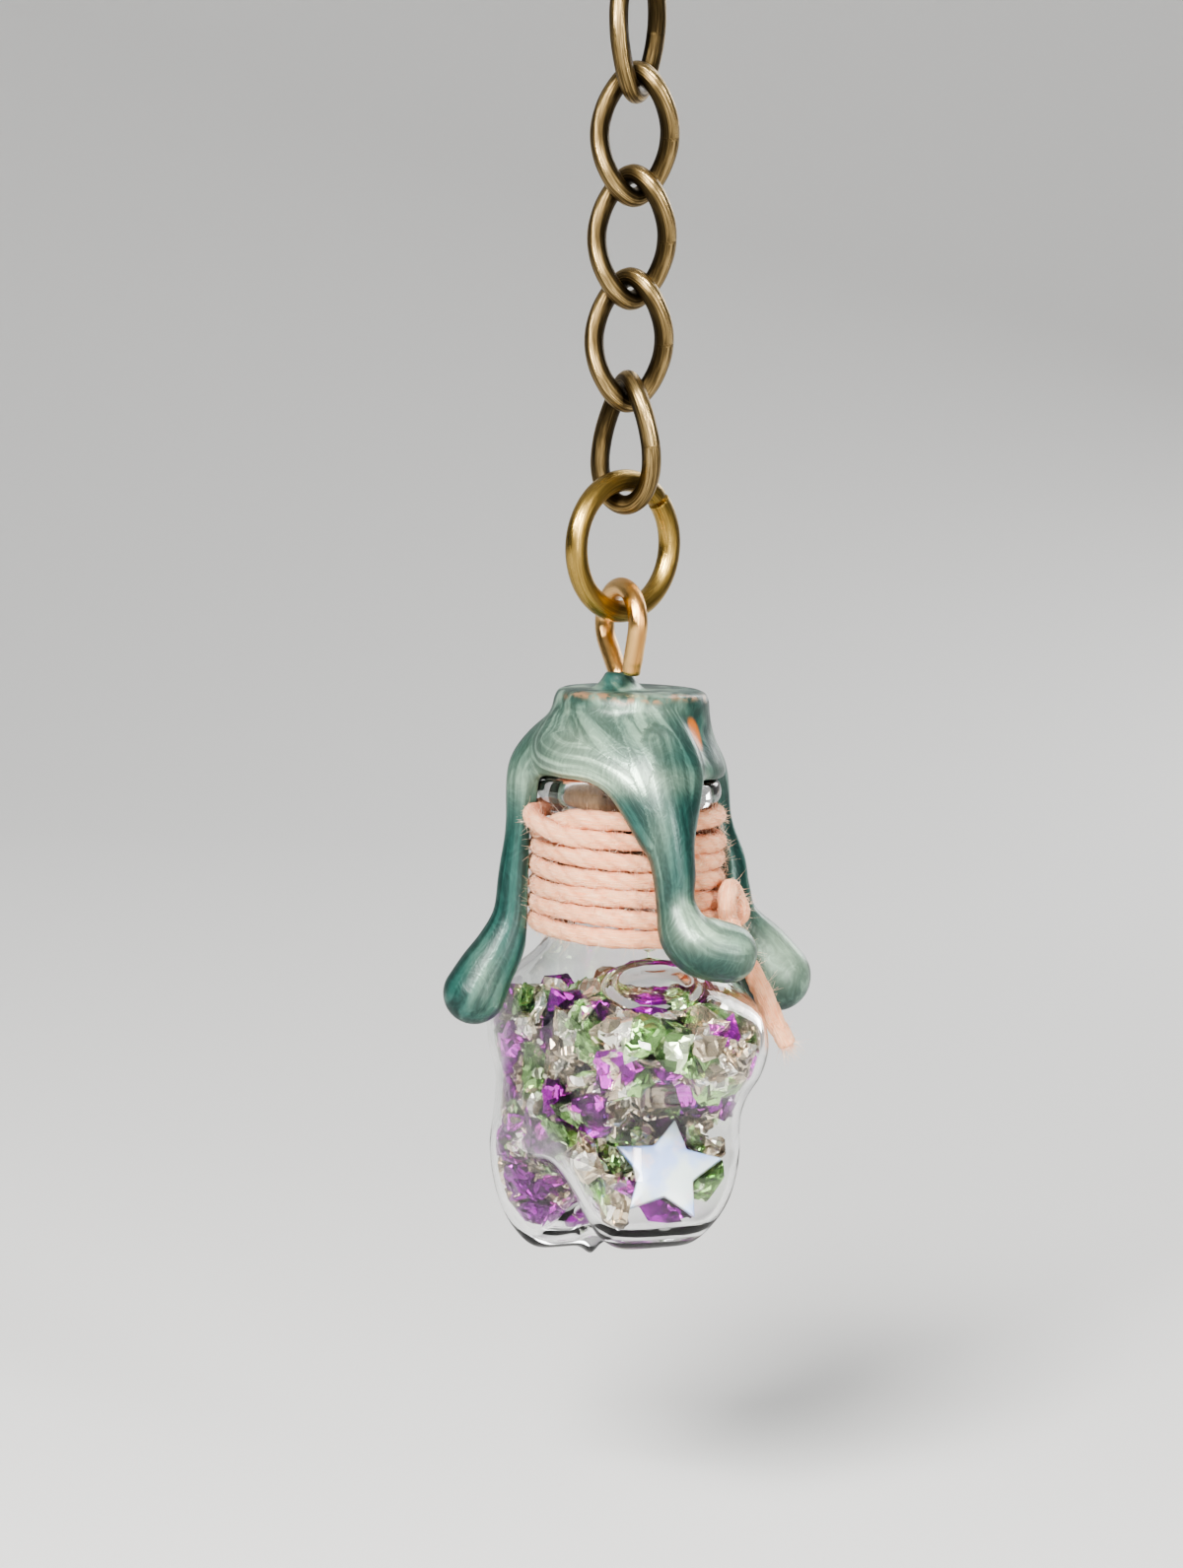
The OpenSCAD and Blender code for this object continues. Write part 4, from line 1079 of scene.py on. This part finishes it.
def pale_wax_and_highlights(points):
    """Where the wax is palest, partly paler wax and partly painted highlights: soft oval places on its near side, by
    where each shows in the photograph, as the sum of size * exp(-(across / width) ** 2 - (down / height) ** 2), kept
    below 1."""
    near = smooth_step((points - BOTTLE_AT)[:, :2] @ camera_matrix()[:2, 2], -4.5, -3.5)
    x, y = on_photo(points)
    total = sum(size * np.exp(-(((x - across) / width) ** 2) - ((y - down) / height) ** 2)
                for across, down, width, height, size in PALE_WAX_AND_HIGHLIGHTS)
    return near * np.minimum(total, 1)


def bare_places(points):
    """Where the cork shows: thinly in a wavy band along the cap's top rim on the near side, and in one oval
    patch with a leaning outline."""
    p = points - BOTTLE_AT
    around = np.arctan2(p[:, 1], p[:, 0])
    wave = 0.09 * np.sin(5 * around + 0.5) + 0.06 * np.sin(13 * around)
    rim = np.exp(-(((p[:, 2] - CORK_TOP - 0.17 - wave) / (0.14 + 0.4 * np.abs(wave))) ** 2))
    rim *= smooth_step(np.linalg.norm(p[:, :2], axis=1), 3.6, 3.9)
    facing = smooth_step(np.cos(around - np.radians(DRIP_TURN + 14)), 0.1, 0.5)
    off = points - (BOTTLE_AT + PATCH_R * bearing(PATCH_TURN) + [0, 0, PATCH_Z])
    across, up = off @ bearing(PATCH_TURN + 90), off @ UP
    patch = 1 - smooth_step((across / 0.6 + 0.25 * up) ** 2 + (up / 0.95) ** 2, 0.5, 1.2)
    return rim * facing, patch * smooth_step(off @ bearing(PATCH_TURN), -1.0, -0.4)


def make_wax_seal():
    """Cap, collar and drips joined into one soft skin, which is kept off the glass lip and off the cord. The
    creases where the webs and the drips leave the cap are filled softly."""
    lines = [drip_line(rows) for rows in DRIPS.values()]
    drips = [rounded_ends(tube(line, level_out(line), radius, 24)[0], 1.0, 6) for line, radius in lines]
    points, corners = joined_by_voxels([wax_cap(), wax_collar(), *drips])
    height = points[:, 2]
    creases = 0.6 * smooth_step(height, CREASES_START, CREASES_FULL)
    creases *= 1 - smooth_step(height, CREASES_FADE, CREASES_END)
    points = clear_of_lip(relaxed(points, corners, creases))
    share, lay = nearest_on_drips(points, lines)
    thin, bare = bare_places(points)
    add_piece("sealing_wax", points, [corners], "bottle", "green_wax", WAX, replaces=("wax_seal",), attributes={
        "lay": lay, "on_drip": 1 - smooth_step(share, 1.05, 1.7), "thin": thin, "cork_patch": bare,
        "pale": pale_wax_and_highlights(points)})


make_wax_seal()

# ---------------- floor and light

FLOOR_Z, FLOOR_REACH, FLOOR_BEND_R, FLOOR_BEND_AT, FLOOR_TOP = -0.09, 1.6, 0.5, 0.35, 1.8


def make_floor():
    """A floor that rises behind in one soft curve. Row j runs along the floor, round a quarter circle, and up."""
    side = bearing(VIEW_AZIMUTH)
    back = np.cross(UP, side)
    bend, r = np.radians(np.linspace(0, 90, 20)), FLOOR_BEND_R
    d = np.concatenate([[-FLOOR_REACH, -0.5, 0.2], FLOOR_BEND_AT + r * np.sin(bend), [FLOOR_BEND_AT + r]])
    z = np.concatenate([[0, 0, 0], r * (1 - np.cos(bend)), [FLOOR_TOP]])
    w = np.array([-2.2, -0.7, 0.7, 2.2])
    p = d[:, None, None] * back + z[:, None, None] * UP + w[None, :, None] * side + [0, 0, FLOOR_Z]
    rows, cols = p.shape[:2]
    faces = grid_faces(rows, cols).reshape(rows - 1, cols, 4)[:, :-1].reshape(-1, 4)
    finish = Finish("pale_floor", Base_Color=(0.8, 0.8, 0.79), Roughness=0.9)
    placed("floor", new_mesh("floor", p.reshape(-1, 3), [faces], finish.material, True))


def make_light(name, beside, elevation, distance, size, power, colour=(1, 1, 1)):
    """An area light that faces the pendant's middle, at an angle beside the camera's."""
    away = direction(VIEW_AZIMUTH + beside, elevation)
    data = bpy.data.lights.new(name, "AREA")
    data.shape, data.size, data.size_y = "RECTANGLE", size[0], size[1]
    data.energy, data.color = power, colour
    light = placed(name, data)
    light.location = VIEW_CENTRE * MM + away * distance
    light.rotation_mode = "QUATERNION"
    light.rotation_quaternion = Vector(away).to_track_quat("Z", "Y")


def make_card(name, beside, elevation, distance, width, height, grey=0.03):
    """A card out of sight, whose reflection gives metal, wax and glass their dark sides."""
    away = direction(VIEW_AZIMUTH + beside, elevation)
    across = unit(np.cross(UP, away))
    up = np.cross(away, across)
    middle = VIEW_CENTRE * MM + away * distance
    signs = ((-1, -1), (1, -1), (1, 1), (-1, 1))
    corners = [middle + i * width / 2 * across + j * height / 2 * up for i, j in signs]
    finish = Finish("dark_card", Base_Color=(grey, grey, grey), Roughness=0.9)
    card = placed(name, new_mesh(name, np.array(corners), [np.array([[0, 1, 2, 3]])], finish.material))
    card.visible_camera = card.visible_transmission = False
    return card


def make_lights():
    """A key from the upper left of the camera, a fill from the right, a light from behind for the edges, and an
    even pale sky. Dark cards stand behind the camera and beside it, and a grey one lies under the pendant."""
    make_light("key", -17, 32, 0.42, (0.13, 0.13), 3.9, (1.0, 0.98, 0.95))
    make_light("fill", 38, 12, 0.5, (0.06, 0.25), 1.6, (1.0, 0.98, 0.95))
    make_light("edge", 150, 30, 0.5, (0.12, 0.45), 1.2)
    make_card("card_behind", -2, 2, 0.75, 1.8, 0.9)
    make_card("card_left", -85, 0, 0.6, 0.75, 0.7)
    make_card("card_right", 82, 0, 0.6, 0.7, 0.7)
    below = make_card("card_below", 0, -89, 0.043, 0.6, 0.6, 0.45)
    below.visible_diffuse = below.visible_shadow = False
    world = bpy.data.worlds.new("studio")
    world.use_nodes = True
    fill(world.node_tree, world.node_tree.nodes["Background"], {"Color": (0.97, 0.98, 1.0), "Strength": 0.36})
    bpy.context.scene.world = world
    bpy.context.scene.view_settings.look = "AgX - Medium High Contrast"


make_floor()
make_lights()
